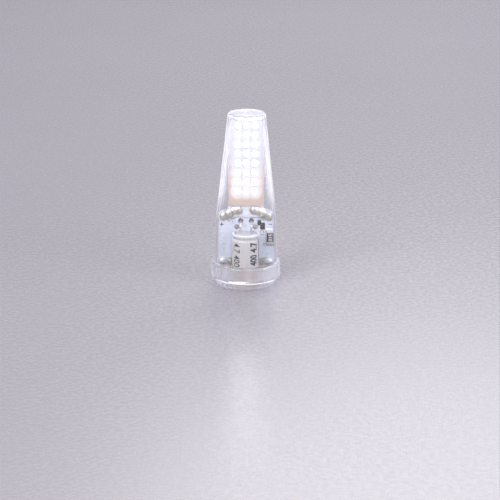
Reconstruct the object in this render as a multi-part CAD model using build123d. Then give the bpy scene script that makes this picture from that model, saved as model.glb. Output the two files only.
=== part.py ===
from build123d import *
import math
import os

# Millimetres. The origin is the middle of the base's seating face, with +Z up the lamp,
# X along the pair of contact loops and the front of the boards towards -Y.

# Clear cover: a thin shell with two drafts
cover_foot = 2.4
cover_top = 41.2
cover_leg_margin = 1.92
cover_bend_height = 15.6
lower_draft_deg = 1.16
upper_draft_deg = 6.1
cover_wall_foot = 0.5
cover_wall_top = 0.4
cover_roof = 0.8
cover_edge_round = 0.7
cover_inner_round = 0.5
cover_round_steps = 2
inside_clearance = 0.08

# Base cup: a boss, and a collar that takes the cover's foot
boss_setback = 0.52
boss_height = 1.7
collar_wall = 0.62
collar_top = 5.5
collar_edge = 0.3
cover_fit = 0.06
boss_edge = 0.35
island_leg_margin = 0.65
island_front = -0.9
island_rear_margin = 0.75
island_middle_height = 3.4

# Contact loops of bent wire
wire_diameter = 0.8
loop_spacing = 9.0
loop_width = 2.8
loop_depth = 7.0
loop_steps = 6
wire_top = 6.15
wire_fit = 0.05

# Driver board
driver_thickness = 1.0
driver_front = 0.0
driver_edge_height = 4.3
driver_shoulder_height = 17.6
driver_shoulder_round = 0.8
tongue_half_width = 2.75
tongue_depth = 1.0
tongue_fit = 0.05
notch_flat_half = 1.05
notch_side_drop = 1.2
lead_hole_height = 15.18
lead_hole_diameter = 1.1
spare_hole_half_spacing = 2.15
spare_hole_height = 13.65

# LED board and its two phosphor coats
led_thickness = 1.0
led_foot = 16.2
led_head_room = 0.5
led_corner_round = 1.7
notch_side_gap = 0.2
phosphor_foot = 19.0
phosphor_thickness = 0.35
chip_columns = 3
chip_rows = 8
chip_pitch_x = 1.98
chip_first_height = 22.56
chip_head_room = 1.492
chip_size = 0.9
chip_thickness = 0.15

# Electrolytic capacitor
sleeve_diameter = 6.3
sleeve_thickness = 0.15
capacitor_length = 8.0
capacitor_foot = 5.2
capacitor_gap = 0.1
can_edge_cut = 0.2
groove_drop = 1.15
groove_mouth_half = 0.5
groove_depth = 0.3
can_wall = 0.55
bung_depth = 1.6
bung_recess = 0.12
sleeve_lip = 0.45
lead_spacing = 2.5
lead_diameter = 0.5
lead_bend = 0.8
lead_steps = 3
lead_grip = 1.0
lead_tail = 0.55

# Solder drops: place from the LED board's edge and foot, half length, radius, and how far each sinks
joint_inner = (-1.9, 1.6, 1.4, 1.2, 0.35)
joint_bridge = (-0.25, 0.9, 1.1, 0.95, 0.2)
joint_outer = (1.0, 0.15, 1.2, 1.5, 0.5)
pin_bead_half = 0.98
pin_bead_radius = 0.92
pin_bead_sink = 0.15
pin_bead_drop = 0.65
cone_base = 0.75
cone_tip = 0.34
cone_height = 0.45

# Small parts: along, across, height
chip_resistor = (3.2, 1.6, 0.6)
chip_capacitor = (3.2, 1.6, 1.1)
sense_resistor = (2.0, 1.25, 0.5)
band_share = 0.17
band_thickness = 0.05
fillet_reach = 0.45
resistor_inset = 0.9
resistor_height = 11.2
input_capacitor_place = (0.0, 5.5)
sense_resistor_place = (0.0, 13.75)

# Leaded packages on the rear: body along X, across Z, height
rectifier_body_size = (4.6, 3.8, 1.5)
rectifier_place = (-3.0, 9.8)
rectifier_columns = 2
rectifier_pitch = 2.5
rectifier_lead_width = 0.65
driver_body_size = (4.9, 3.8, 1.45)
driver_place = (3.0, 9.8)
driver_columns = 4
driver_pitch = 1.27
driver_lead_width = 0.42
package_standoff = 0.1
package_taper_deg = 6.0
package_lead_thickness = 0.2
package_lead_reach = 1.1
package_lead_knee = 0.3
package_solder_reach = 0.25

# Values that follow from the sizes above
loop_bend = (loop_width - wire_diameter) / 2
leg_inner = loop_spacing / 2 - loop_bend
leg_outer = loop_spacing / 2 + loop_bend
cover_foot_radius = leg_outer + cover_leg_margin
lower_slope = math.tan(math.radians(lower_draft_deg))
upper_slope = math.tan(math.radians(upper_draft_deg))
cover_bend_radius = cover_foot_radius - (cover_bend_height - cover_foot) * lower_slope
boss_radius = cover_foot_radius - boss_setback
collar_bore = cover_foot_radius + cover_fit
collar_radius = collar_bore + collar_wall
driver_rear = driver_front + driver_thickness
led_front = -led_thickness / 2
led_rear = led_thickness / 2
led_top = cover_top - cover_roof - led_head_room
chip_pitch_z = (led_top - chip_head_room - chip_first_height) / (chip_rows - 1)
island_half_length = leg_outer + island_leg_margin
island_rear = driver_rear + island_rear_margin
capacitor_radius = sleeve_diameter / 2
mouth_radius = capacitor_radius - sleeve_thickness - can_wall
capacitor_y = driver_front - capacitor_gap - capacitor_radius
capacitor_top = capacitor_foot + capacitor_length
FRONT = -1
REAR = 1


def outer_radius(z):
    """Outer radius of the cover at a height: two drafts that meet at its bend."""
    lower = cover_foot_radius - (z - cover_foot) * lower_slope
    upper = cover_bend_radius - (z - cover_bend_height) * upper_slope
    return min(lower, upper)


def inner_radius(z):
    """Inner radius of the cover, whose wall thins evenly from foot to top."""
    share = (z - cover_foot) / (cover_top - cover_foot)
    return outer_radius(z) - cover_wall_foot - share * (cover_wall_top - cover_wall_foot)


def half_chord(z, depth):
    """Half the width that fits inside the cover at a height, at a distance from its middle plane."""
    return math.sqrt((inner_radius(z) - inside_clearance) ** 2 - depth**2)


def outline(points, rounds=()):
    """A closed face through the points, with some of its corners rounded."""
    face = make_face(Polyline(*points, close=True))
    for x, y, radius in rounds:
        corner = face.vertices().sort_by_distance(Vector(x, y))[:1]
        face = fillet(corner, radius)
    return face


def eased(points, rounds, steps):
    """The points with some corners, given as place and radius, cut in steps along a round."""
    out = []
    for i, point in enumerate(points):
        radius = rounds.get(point)
        if radius is None:
            out.append(point)
            continue
        corner = Vector(*point)
        back = (Vector(*points[i - 1]) - corner).normalized()
        ahead = (Vector(*points[(i + 1) % len(points)]) - corner).normalized()
        half = back.get_angle(ahead) / 2
        centre = corner + (back + ahead).normalized() * (radius / math.sin(math.radians(half)))
        start = corner + back * (radius / math.tan(math.radians(half)))
        turn = back.get_signed_angle(ahead)
        sweep_deg = math.copysign(180 - abs(turn), turn)
        for step in range(steps + 1):
            arm = (start - centre).rotate(Axis.Z, sweep_deg * step / steps)
            out.append(((centre + arm).X, (centre + arm).Y))
    return out


def turned(points, rounds=None, steps=1):
    """A solid of revolution from (radius, height) points, some of whose corners are eased."""
    return revolve(Plane.XZ * outline(eased(points, rounds or {}, steps)), Axis.Z)


def sheet(face, rear, thickness):
    """An upright plate: a face drawn in X and Z, from its rear plane towards the front."""
    return extrude(Plane.XZ.offset(-rear) * face, amount=thickness)


def mirrored(points):
    """Points of the right half followed by the same points on the left, in reverse."""
    return list(points) + [(-x, z) for x, z in reversed(points)]


def on_board(x, z, side, upright):
    """A plane on a face of the driver board, with its X along the small part."""
    face_y = driver_front if side == FRONT else driver_rear
    along = (0, 0, 1) if upright else (1, 0, 0)
    return Plane(origin=(x, face_y, z), x_dir=along, z_dir=(0, side, 0))


def cover():
    """The clear shell, closed at the top and open at the foot."""
    roof = cover_top - cover_roof
    top_outer = (outer_radius(cover_top), cover_top)
    top_inner = (inner_radius(roof), roof)
    points = [
        (inner_radius(cover_foot), cover_foot),
        (cover_foot_radius, cover_foot),
        (cover_bend_radius, cover_bend_height),
        top_outer,
        (0, cover_top),
        (0, roof),
        top_inner,
        (inner_radius(cover_bend_height), cover_bend_height),
    ]
    rounds = {top_outer: cover_edge_round, top_inner: cover_inner_round}
    return turned(points, rounds, cover_round_steps)


def cup_shell():
    """The boss, the floor and the collar of the base."""
    points = [
        (0, 0),
        (boss_radius, 0),
        (boss_radius, boss_height),
        (collar_radius, boss_height),
        (collar_radius, collar_top),
        (collar_bore, collar_top),
        (collar_bore, cover_foot),
        (0, cover_foot),
    ]
    rounds = {
        (boss_radius, 0): boss_edge,
        (collar_radius, boss_height): collar_edge,
        (collar_radius, collar_top): collar_edge,
    }
    return turned(points, rounds)


def cup_island():
    """The bar on the cup's floor that carries the driver board, higher at both pins."""
    step = tongue_half_width + tongue_fit
    right = [
        (step, driver_edge_height),
        (island_half_length, driver_edge_height),
        (island_half_length, cover_foot),
    ]
    left = [(-x, z) for x, z in reversed(right)]
    middle = [(-step, island_middle_height), (step, island_middle_height)]
    face = outline(middle[1:] + right + left + middle[:1])
    bar = sheet(face, island_rear, island_rear - island_front)
    ends = bar.edges().filter_by(Axis.Z).group_by(Axis.X)
    return fillet(ends[0] + ends[-1], collar_wall)


def base_cup():
    """The moulded base, with the slot for the board's tongue and four holes for the wire."""
    slot_bottom = cover_foot - tongue_depth - tongue_fit
    slot_top = driver_edge_height
    slot_size = (2 * (tongue_half_width + tongue_fit), driver_thickness + 2 * tongue_fit)
    slot_middle = (driver_front + driver_rear) / 2
    slot = Pos(0, slot_middle, slot_bottom) * Box(
        *slot_size, slot_top - slot_bottom, align=(Align.CENTER, Align.CENTER, Align.MIN)
    )
    hole = Cylinder(
        wire_diameter / 2 + wire_fit, driver_edge_height, align=(Align.CENTER, Align.CENTER, Align.MIN)
    )
    cup = cup_shell() + cup_island() - slot
    for x in (-leg_outer, -leg_inner, leg_inner, leg_outer):
        cup -= Pos(x, 0, 0) * hole
    return cup


def wire(points, diameter):
    """Round wire along straight runs that meet in mitres."""
    run = Polyline(*points)
    section = Plane(origin=run @ 0, z_dir=run % 0) * Circle(diameter / 2)
    return sweep(section, path=run, transition=Transition.RIGHT)


def contact_pin(side):
    """A hairpin of round wire: two legs joined by a half turn below the base."""
    bend_height = loop_bend + wire_diameter / 2 - loop_depth
    points = [(side * leg_inner, 0, wire_top)]
    for step in range(loop_steps + 1):
        angle = math.pi * step / loop_steps
        x = loop_spacing / 2 - loop_bend * math.cos(angle)
        points.append((side * x, 0, bend_height - loop_bend * math.sin(angle)))
    points.append((side * leg_outer, 0, wire_top))
    return wire(points, wire_diameter)


def notch_half():
    """Half the width of the notch between the driver board's shoulders."""
    return led_half_width() + notch_side_gap


def led_half_width():
    """Half the LED board's width: what fits in the cover where its corner rounds begin."""
    return half_chord(led_top - led_corner_round, led_rear + phosphor_thickness)


def driver_outline():
    """The driver board: tongue, straight foot, sides that follow the cover, shoulders and notch."""
    foot_half = half_chord(driver_edge_height, driver_rear)
    bend_half = half_chord(cover_bend_height, driver_rear)
    shoulder_half = half_chord(driver_shoulder_height, driver_rear)
    notch_side = led_foot - notch_side_drop
    right = [
        (tongue_half_width, cover_foot - tongue_depth),
        (tongue_half_width, driver_edge_height),
        (foot_half, driver_edge_height),
        (bend_half, cover_bend_height),
        (shoulder_half, driver_shoulder_height),
        (notch_half(), driver_shoulder_height),
        (notch_half(), notch_side),
        (notch_flat_half, led_foot),
    ]
    rounds = []
    for side in (-1, 1):
        rounds.append((side * shoulder_half, driver_shoulder_height, driver_shoulder_round))
        rounds.append((side * notch_half(), driver_shoulder_height, driver_shoulder_round / 2))
        rounds.append((side * notch_flat_half, led_foot, notch_half()))
    return outline(mirrored(right), rounds)


def driver_board():
    """The driver board with its lead holes, spare holes and the four notches for the wire."""
    face = driver_outline()
    for side in (-1, 1):
        face -= Pos(side * lead_spacing / 2, lead_hole_height) * Circle(lead_hole_diameter / 2)
        face -= Pos(side * spare_hole_half_spacing, spare_hole_height) * Circle(lead_hole_diameter / 2)
    slot_width = wire_diameter + 2 * wire_fit
    slot_height = wire_top + wire_fit - driver_edge_height
    for x in (-leg_outer, -leg_inner, leg_inner, leg_outer):
        face -= Pos(x, driver_edge_height + slot_height / 2) * Rectangle(slot_width, slot_height)
    return sheet(face, driver_rear, driver_thickness)


def led_outline(foot, top, foot_round):
    """The LED board's outline, also that of its coats, with the top corners rounded."""
    half = led_half_width()
    right = [(half, foot), (half, top)]
    rounds = []
    for side in (-1, 1):
        rounds.append((side * half, top, led_corner_round))
        rounds.append((side * half, foot, foot_round))
    return outline(mirrored(right), rounds)


def led_board():
    """The LED board, standing on the flat of the driver board's notch."""
    return sheet(led_outline(led_foot, led_top, 0.3), led_rear, led_thickness)


def chip_spots():
    """Middles of the LED chips, in X and Z."""
    rise = chip_first_height + chip_pitch_z * (chip_rows - 1) / 2
    return [Pos(0, rise) * spot for spot in GridLocations(chip_pitch_x, chip_pitch_z, chip_columns, chip_rows)]


def led_chips(side):
    """The LED chips on one face, each a solid of its own."""
    squares = [spot * Rectangle(chip_size, chip_size) for spot in chip_spots()]
    rear = led_front if side == FRONT else led_rear + chip_thickness
    return [sheet(square, rear, chip_thickness) for square in squares]


def phosphor(side):
    """The phosphor coat on one face, with a pocket over each chip."""
    rear = led_front if side == FRONT else led_rear + phosphor_thickness
    coat = sheet(led_outline(phosphor_foot, led_top, 0.2), rear, phosphor_thickness)
    for chip in led_chips(side):
        coat -= chip
    return coat


def can_points(grow):
    """Half the section of the capacitor's can with its groove, or of its sleeve when grown outwards."""
    radius = capacitor_radius - sleeve_thickness + grow
    foot = capacitor_foot + sleeve_thickness - grow
    top = capacitor_top - sleeve_thickness + grow
    groove = capacitor_top - groove_drop
    return [
        (0, foot),
        (radius, foot),
        (radius, groove - groove_mouth_half),
        (radius - groove_depth, groove),
        (radius, groove + groove_mouth_half),
        (radius, top - can_edge_cut),
        (radius - can_edge_cut, top),
        (0, top),
    ]


def place_capacitor(shape):
    """Moves a shape turned on the lamp's axis to the capacitor's axis."""
    return Pos(0, capacitor_y, 0) * shape


def can_blank(grow):
    """The can, solid, with its rolled groove."""
    return turned(can_points(grow))


def capacitor_can():
    """The aluminium can, with the mouth that holds the bung."""
    mouth = Pos(0, 0, capacitor_top - sleeve_thickness - bung_depth) * Cylinder(
        mouth_radius, bung_depth, align=(Align.CENTER, Align.CENTER, Align.MIN)
    )
    return place_capacitor(can_blank(0) - mouth)


def capacitor_sleeve():
    """The shrink sleeve, folded over both ends of the can."""
    opening = Cylinder(capacitor_radius - sleeve_lip, 3 * cover_top)
    return place_capacitor(can_blank(sleeve_thickness) - can_blank(0) - opening)


def capacitor_bung():
    """The rubber bung in the can's mouth, with a hole for each lead."""
    top = capacitor_top - sleeve_thickness - bung_recess
    foot = capacitor_top - sleeve_thickness - bung_depth
    points = [(0, foot), (mouth_radius, foot), (mouth_radius, top), (0, top)]
    bung = place_capacitor(turned(points))
    for side in (-1, 1):
        bung -= capacitor_lead(side)
    return bung


def capacitor_lead(side):
    """A lead that rises from the bung and turns back through the driver board."""
    x = side * lead_spacing / 2
    points = [(x, capacitor_y, capacitor_top - sleeve_thickness - bung_recess - lead_grip)]
    for step in range(lead_steps + 1):
        angle = math.pi / 2 * step / lead_steps
        y = capacitor_y + lead_bend * (1 - math.cos(angle))
        points.append((x, y, lead_hole_height - lead_bend * (1 - math.sin(angle))))
    points.append((x, driver_rear + lead_tail, lead_hole_height))
    return wire(points, lead_diameter)


def lead_joint(side):
    """Solder that fills a lead hole's rear half and rises to a cone round the lead."""
    half_hole = driver_thickness / 2
    points = [
        (0, -half_hole),
        (lead_hole_diameter / 2, -half_hole),
        (lead_hole_diameter / 2, 0),
        (cone_base, 0),
        (cone_tip, cone_height),
        (0, cone_height),
    ]
    hole = on_board(side * lead_spacing / 2, lead_hole_height, REAR, True)
    return hole * turned(points) - capacitor_lead(side)


def bead(x, y, z, half_length, radius):
    """A drop of solder that lies along X: a round bar that two long arcs thin out to its ends."""
    ends = [(-half_length, 0), (half_length, 0)]
    lens = make_face([ThreePointArc(ends[0], (0, radius), ends[1]), ThreePointArc(ends[1], (0, -radius), ends[0])])
    along = extrude(Plane.YZ * Circle(radius), amount=half_length, both=True)
    return Pos(x, y, z) * (along & extrude(lens, amount=radius, both=True))


def space_beyond(face_y, side):
    """All the space on one side of an upright plane."""
    reach = 2 * cover_top
    return Pos(0, face_y + side * reach / 2, 0) * Box(reach, reach, 2 * reach)


def drop(spec, hand, side, face_y):
    """One drop of a solder joint, on the left or the right, sunk a little in a board's face."""
    x, z, half_length, radius, sink = spec
    return bead(hand * x, face_y - side * sink, z, half_length, radius)


def at_led_corner(spec):
    """The same drop, its place counted from the lower corner of the LED board."""
    return (led_half_width() + spec[0], led_foot + spec[1], *spec[2:])


def board_joint(hand, side):
    """One solder joint of the two boards: from the LED board's foot across to the shoulder."""
    led_face = led_front if side == FRONT else led_rear
    driver_face = driver_front if side == FRONT else driver_rear
    joint = drop(at_led_corner(joint_inner), hand, side, led_face)
    joint += drop(at_led_corner(joint_bridge), hand, side, led_face)
    joint += drop(at_led_corner(joint_outer), hand, side, driver_face)
    joint &= space_beyond(driver_front if side == FRONT else led_rear, side)
    return joint - led_board() - driver_board()


def pin_joint(hand, side):
    """The solder of one contact loop on one face of the board: a drop on each leg."""
    face_y = driver_front if side == FRONT else driver_rear
    spec = (wire_top - pin_bead_drop, pin_bead_half, pin_bead_radius, pin_bead_sink)
    joint = drop((leg_inner, *spec), hand, side, face_y)
    joint += drop((leg_outer - pin_bead_sink, *spec), hand, side, face_y)
    joint &= space_beyond(face_y, side)
    return joint - contact_pin(hand)


def small_body(size, plane):
    """The ceramic body of a chip part."""
    length, width, height = size
    block = Box(length - 2 * band_thickness, width, height - 2 * band_thickness)
    return plane * Pos(0, 0, height / 2) * block


def small_terminals(size, plane):
    """The two metal end bands, each folded over three faces of the body."""
    length, width, height = size
    band = length * band_share
    bands = []
    for end in (-1, 1):
        block = Pos(end * (length - band) / 2, 0, height / 2) * Box(band, width, height)
        bands.append(plane * block - small_body(size, plane))
    return bands


def small_solder(size, plane):
    """A fillet of solder at each end of a chip part."""
    length, width, height = size
    start = length / 2
    rise = height * 0.85
    curve = RadiusArc((start + fillet_reach, 0), (start, rise), 2 * max(fillet_reach, rise))
    edges = [Line((start, 0), (start + fillet_reach, 0)), curve, Line((start, rise), (start, 0))]
    wedge = extrude(Plane.XZ * make_face(edges), amount=width / 2, both=True)
    return [plane * wedge, plane * Rot(0, 0, 180) * wedge]


def package_body(size, place):
    """A moulded package with tapered sides, on the rear of the board."""
    length, width, height = size
    half = extrude(Rectangle(length, width), amount=height / 2, taper=package_taper_deg)
    block = half + Rot(180, 0, 0) * half
    return on_board(*place, REAR, False) * Pos(0, 0, package_standoff + height / 2) * block


def package_lead(size, width):
    """One gull-wing lead, from the body's side down to the board, at Y above zero."""
    start = size[1] / 2
    middle = package_standoff + size[2] / 2
    half = package_lead_thickness / 2
    knee = start + package_lead_knee
    foot = knee + package_lead_thickness
    toe = start + package_lead_reach
    points = [
        (start, middle - half),
        (knee, middle - half),
        (foot, 0),
        (toe, 0),
        (toe, package_lead_thickness),
        (foot + package_lead_thickness, package_lead_thickness),
        (knee + package_lead_thickness, middle + half),
        (start, middle + half),
    ]
    return extrude(Plane.YZ * outline(points), amount=width / 2, both=True)


def package_joint(size, width):
    """The solder fillet at one lead's toe."""
    toe = size[1] / 2 + package_lead_reach
    points = [(toe, 0), (toe + package_solder_reach, 0), (toe, package_lead_thickness)]
    return extrude(Plane.YZ * outline(points), amount=width / 2, both=True)


def along_package(shape, place, columns, pitch):
    """Copies of a lead or its solder along both long sides of a package."""
    board = on_board(*place, REAR, False)
    first = -pitch * (columns - 1) / 2
    copies = []
    for turn in (0, 180):
        for column in range(columns):
            copies.append(board * Rot(0, 0, turn) * Pos(first + column * pitch, 0, 0) * shape)
    return copies


def resistor_plane():
    """Where the front resistor lies, upright, near the board's side."""
    x = half_chord(resistor_height, driver_rear) - resistor_inset
    return on_board(x, resistor_height, FRONT, True)


def input_capacitor_plane():
    """Where the ceramic input capacitor lies on the rear, level."""
    return on_board(*input_capacitor_place, REAR, False)


def sense_resistor_plane():
    """Where the sense resistor lies on the rear, level."""
    return on_board(*sense_resistor_place, REAR, False)


def packages():
    """The rectifier and the driver chip: their size, place, columns, pitch and lead width."""
    return {
        "rectifier": (
            rectifier_body_size,
            rectifier_place,
            rectifier_columns,
            rectifier_pitch,
            rectifier_lead_width,
        ),
        "driver_chip": (
            driver_body_size,
            driver_place,
            driver_columns,
            driver_pitch,
            driver_lead_width,
        ),
    }


def all_nodes():
    """Every node of the lamp, by name."""
    hands = (-1, 1)
    nodes = {
        "cover": cover(),
        "base_cup": base_cup(),
        "contact_pin_left": contact_pin(-1),
        "contact_pin_right": contact_pin(1),
        "driver_board": driver_board(),
        "led_board": led_board(),
        "phosphor_front": phosphor(FRONT),
        "phosphor_rear": phosphor(REAR),
        "led_chips_front": led_chips(FRONT),
        "led_chips_rear": led_chips(REAR),
        "capacitor_can": capacitor_can(),
        "capacitor_sleeve": capacitor_sleeve(),
        "capacitor_bung": capacitor_bung(),
        "capacitor_lead_positive": capacitor_lead(-1),
        "capacitor_lead_negative": capacitor_lead(1),
        "capacitor_solder": [lead_joint(hand) for hand in hands],
        "board_joint_solder": [board_joint(hand, side) for hand in hands for side in (FRONT, REAR)],
        "pin_solder": [pin_joint(hand, side) for hand in hands for side in (FRONT, REAR)],
    }
    small_parts = {
        "resistor": (chip_resistor, resistor_plane()),
        "input_capacitor": (chip_capacitor, input_capacitor_plane()),
        "sense_resistor": (sense_resistor, sense_resistor_plane()),
    }
    for name, (size, plane) in small_parts.items():
        nodes[name + "_body"] = small_body(size, plane)
        nodes[name + "_terminals"] = small_terminals(size, plane)
        nodes[name + "_solder"] = small_solder(size, plane)
    for name, (size, place, columns, pitch, width) in packages().items():
        nodes[name + "_body"] = package_body(size, place)
        nodes[name + "_leads"] = along_package(package_lead(size, width), place, columns, pitch)
        nodes[name + "_solder"] = along_package(package_joint(size, width), place, columns, pitch)
    return nodes


def write_nodes():
    """Writes one STEP file for each node."""
    os.makedirs("parts", exist_ok=True)
    for name, shape in all_nodes().items():
        if isinstance(shape, list):
            shape = Compound(children=shape)
        export_step(shape, f"parts/{name}.step")


write_nodes()
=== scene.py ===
"""A clear capsule LED lamp, laid out as a Blender add-on: its pieces, their finishes and a studio."""

import math

import bmesh
import bpy
from mathutils import Matrix, Vector, noise


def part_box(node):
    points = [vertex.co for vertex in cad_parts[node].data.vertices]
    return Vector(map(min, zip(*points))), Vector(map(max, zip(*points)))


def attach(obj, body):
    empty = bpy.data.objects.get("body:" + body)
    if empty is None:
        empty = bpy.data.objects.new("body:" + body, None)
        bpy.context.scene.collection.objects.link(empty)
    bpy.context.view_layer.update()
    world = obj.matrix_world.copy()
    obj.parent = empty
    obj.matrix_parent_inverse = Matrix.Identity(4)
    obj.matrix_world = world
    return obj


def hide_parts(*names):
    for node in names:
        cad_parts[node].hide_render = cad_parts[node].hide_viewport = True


bl_info = {
    "name": "Clear capsule lamp",
    "version": (1, 0, 0),
    "blender": (4, 5, 0),
    "location": "3D View > Sidebar > Lamp",
    "description": "Builds a clear capsule LED lamp round its CAD frame",
    "category": "Add Mesh",
}

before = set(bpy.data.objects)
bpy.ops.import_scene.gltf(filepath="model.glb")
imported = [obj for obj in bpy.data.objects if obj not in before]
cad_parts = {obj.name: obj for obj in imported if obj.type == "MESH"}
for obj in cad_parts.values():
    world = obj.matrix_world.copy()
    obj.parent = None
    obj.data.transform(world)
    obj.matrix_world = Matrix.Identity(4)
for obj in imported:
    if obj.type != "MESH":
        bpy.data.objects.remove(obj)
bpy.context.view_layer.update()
MM = 0.001
FRONT = -1
REAR = 1
MERGE = 0.0005 * MM
FLAT_DEG = 0.5
SHARP_DEG = 35
INK = 0.02
SLEEVE_INK = 0.03
WRAP_SINK = 0.005
# Heights of the cover's lit stretch, where its plastic carries a painted glow
COVER_LIT_FROM = 24 * MM
COVER_LIT_DROP = 5.2 * MM
COVER_LIT_SOFT = 6 * MM
HOLE_GAP = 0.05 * MM
LEAD_GAP = 0.004 * MM
LEAD_IN_BUNG = 1.12 * MM
LEAD_PAST_BOARD = 0.55 * MM
cover_low, cover_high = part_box("cover")
cup_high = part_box("base_cup")[1]
driver_low, driver_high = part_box("driver_board")
led_low, led_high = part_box("led_board")
sleeve_low, sleeve_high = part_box("capacitor_sleeve")

PLASTIC_IOR = 1.585
LAMPS_LET_THROUGH = 0.9
# Colour of the painted glow in the clear plastic's milky share, standing in for light the plastic guides
PAINTED_GLOW_TONE = (0.95, 0.95, 1.0)
FLUX_ON_PLASTIC = (0.60, 0.50, 0.37)
# Painted shade: the beige put down the middle of the base plastic, where the shaded bar is seen through
PAINTED_BAR_SHADE = (0.72, 0.60, 0.47)
# Beige for the board joints' lower sides and the resistor's lower band: partly flux and partly painted shade
FLUX_AND_SHADE_ON_SOLDER = (0.50, 0.45, 0.35)
# Painted shade: dark olive on the lower and inner sides of the pin drops
PAINTED_PIN_SHADE = (0.25, 0.23, 0.16)
DULL_METAL = (0.45, 0.42, 0.38)
DOT_CORNER = 2.25
JOINTS_ABOVE = 14.5 * MM
PINS_BELOW = 8.0 * MM


def length(name, description, value):
    """A length property, given in millimetres."""
    return bpy.props.FloatProperty(
        name=name, description=description, default=value * MM, unit="LENGTH", subtype="DISTANCE", precision=5
    )


def angle(name, description, degrees):
    """An angle property, given in degrees."""
    return bpy.props.FloatProperty(
        name=name, description=description, default=math.radians(degrees), unit="ROTATION", subtype="ANGLE"
    )


def share(name, description, value):
    """A property from 0 to 1."""
    return bpy.props.FloatProperty(
        name=name, description=description, default=value, min=0, max=1, subtype="FACTOR"
    )


def strength(name, description, value, least=0):
    """A property without a unit and with no upper end."""
    return bpy.props.FloatProperty(name=name, description=description, default=value, min=least)


def colour(name, description, value):
    """A colour property."""
    return bpy.props.FloatVectorProperty(
        name=name, description=description, default=value, size=3, min=0, max=1, subtype="COLOR"
    )


class CoverSizes(bpy.types.PropertyGroup):
    """The clear cover: two drafts that meet in a soft bend."""

    foot_height: length("Foot height", "Height of the cover's open end", cover_low.z / MM)
    top_height: length("Top height", "Height of the closed top", cover_high.z / MM)
    foot_radius: length("Foot radius", "Outer radius at the foot", cover_high.x / MM)
    bend_height: length("Bend height", "Height where the drafts meet", 15.6)
    bend_round: length("Bend round", "Radius of the soft bend", 76.0)
    lower_draft: angle("Lower draft", "Lean of the wall below the bend", 1.16)
    upper_draft: angle("Upper draft", "Lean of the wall above the bend", 6.1)
    wall_foot: length("Wall at foot", "Wall thickness at the foot", 0.5)
    wall_top: length("Wall at top", "Wall thickness at the top", 0.4)
    roof: length("Roof", "Thickness of the top", 0.8)
    edge_round: length("Edge round", "Outer round of the top edge", 0.6)
    haze: share("Haze", "Milky share where the wall is seen edge-on", 0.75)
    veil: share("Veil", "Milky share where the wall is seen flat", 0.004)
    # Painted light: lit_power and dim_power set a painted glow in the cover's milky share, strong in the lit
    # stretch and weak elsewhere; lit_veil adds milk there as a painted highlight
    lit_veil: share("Lit veil", "Milky share that the lit stretch adds", 0.0)
    lit_power: share("Painted glow", "Light in the haze of the lit stretch", 0.32)
    dim_power: share("Painted stray glow", "Light in the haze elsewhere", 0.06)
    tint: colour("Tint", "Colour of the clear plastic", (0.97, 0.97, 1.0))


class BaseSizes(bpy.types.PropertyGroup):
    """The base cup: boss, collar and the bar that carries the driver board."""

    boss_radius: length("Boss radius", "Radius of the seat", 6.9)
    boss_height: length("Boss height", "Height of the collar's underside", 1.7)
    collar_radius: length("Collar radius", "Outer radius of the collar", cup_high.x / MM)
    bore_radius: length("Bore radius", "Radius that takes the cover", 7.48)
    collar_top: length("Collar top", "Height of the collar", cup_high.z / MM)
    bar_half: length("Bar half length", "Half length of the bar under the board", 6.15)
    bar_front: length("Bar front", "Front of the bar", -0.9)
    bar_rear: length("Bar rear", "Rear of the bar", 1.75)
    haze: share("Haze", "Milky share where the wall is seen edge-on", 0.75)
    veil: share("Veil", "Milky share where the wall is seen flat", 0.45)
    # Painted highlight: lit_veil and lit_power paint a bright arc of milk and glow on the collar's lower edge;
    # dim_power is a weak painted glow elsewhere
    lit_veil: share("Lit veil", "Milky share that the lit stretch adds", 0.45)
    lit_power: share("Painted glow", "Light in the haze of the lit stretch", 0.7)
    dim_power: share("Painted stray glow", "Light in the haze elsewhere", 0.06)
    tint: colour("Tint", "Colour of the base's plastic", (0.94, 0.94, 0.99))


class WireSizes(bpy.types.PropertyGroup):
    """The bent wires: contact loops and capacitor leads."""

    loop_diameter: length("Loop wire", "Diameter of the contact wire", 0.8)
    loop_spacing: length("Loop spacing", "Distance between the loops", 9.0)
    loop_width: length("Loop width", "Width of one loop over the wire", 2.8)
    loop_depth: length("Loop depth", "How far the loops reach below the seat", 7.0)
    loop_top: length("Loop top", "Height where the legs end", 6.15)
    lead_diameter: length("Lead diameter", "Diameter of the capacitor's leads", 0.5)
    lead_spacing: length("Lead spacing", "Distance between the leads", 2.5)
    lead_height: length("Lead height", "Height of the holes that take the leads", 15.18)
    lead_bend: length("Lead bend", "Bend radius of the leads", 0.8)


class PanelLook(bpy.types.PropertyGroup):
    """The lit panel: dots of light under a warm coat."""

    columns: bpy.props.IntProperty(name="Columns", description="Dots across", default=3, min=1)
    rows: bpy.props.IntProperty(name="Rows", description="Dots up", default=8, min=1)
    pitch_x: length("Pitch across", "Distance between columns", 1.98)
    pitch_z: length("Pitch up", "Distance between rows", 2.264)
    first_row: length("First row", "Height of the lowest row", 22.56)
    dot_half: length("Dot half size", "Half the size of a dot", 0.75)
    dot_power: strength("Dot strength", "Light of a dot", 6.5)
    gap_power: strength("Gap strength", "Light between dots", 0.44)
    margin_power: strength("Margin strength", "Light of the margins", 0.05)
    coat: colour("Coat", "Colour of the coat where it is unlit", (0.70, 0.57, 0.48))
    glow: colour("Glow", "Colour of the light in the coat", (0.62, 0.78, 1.0))


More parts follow.
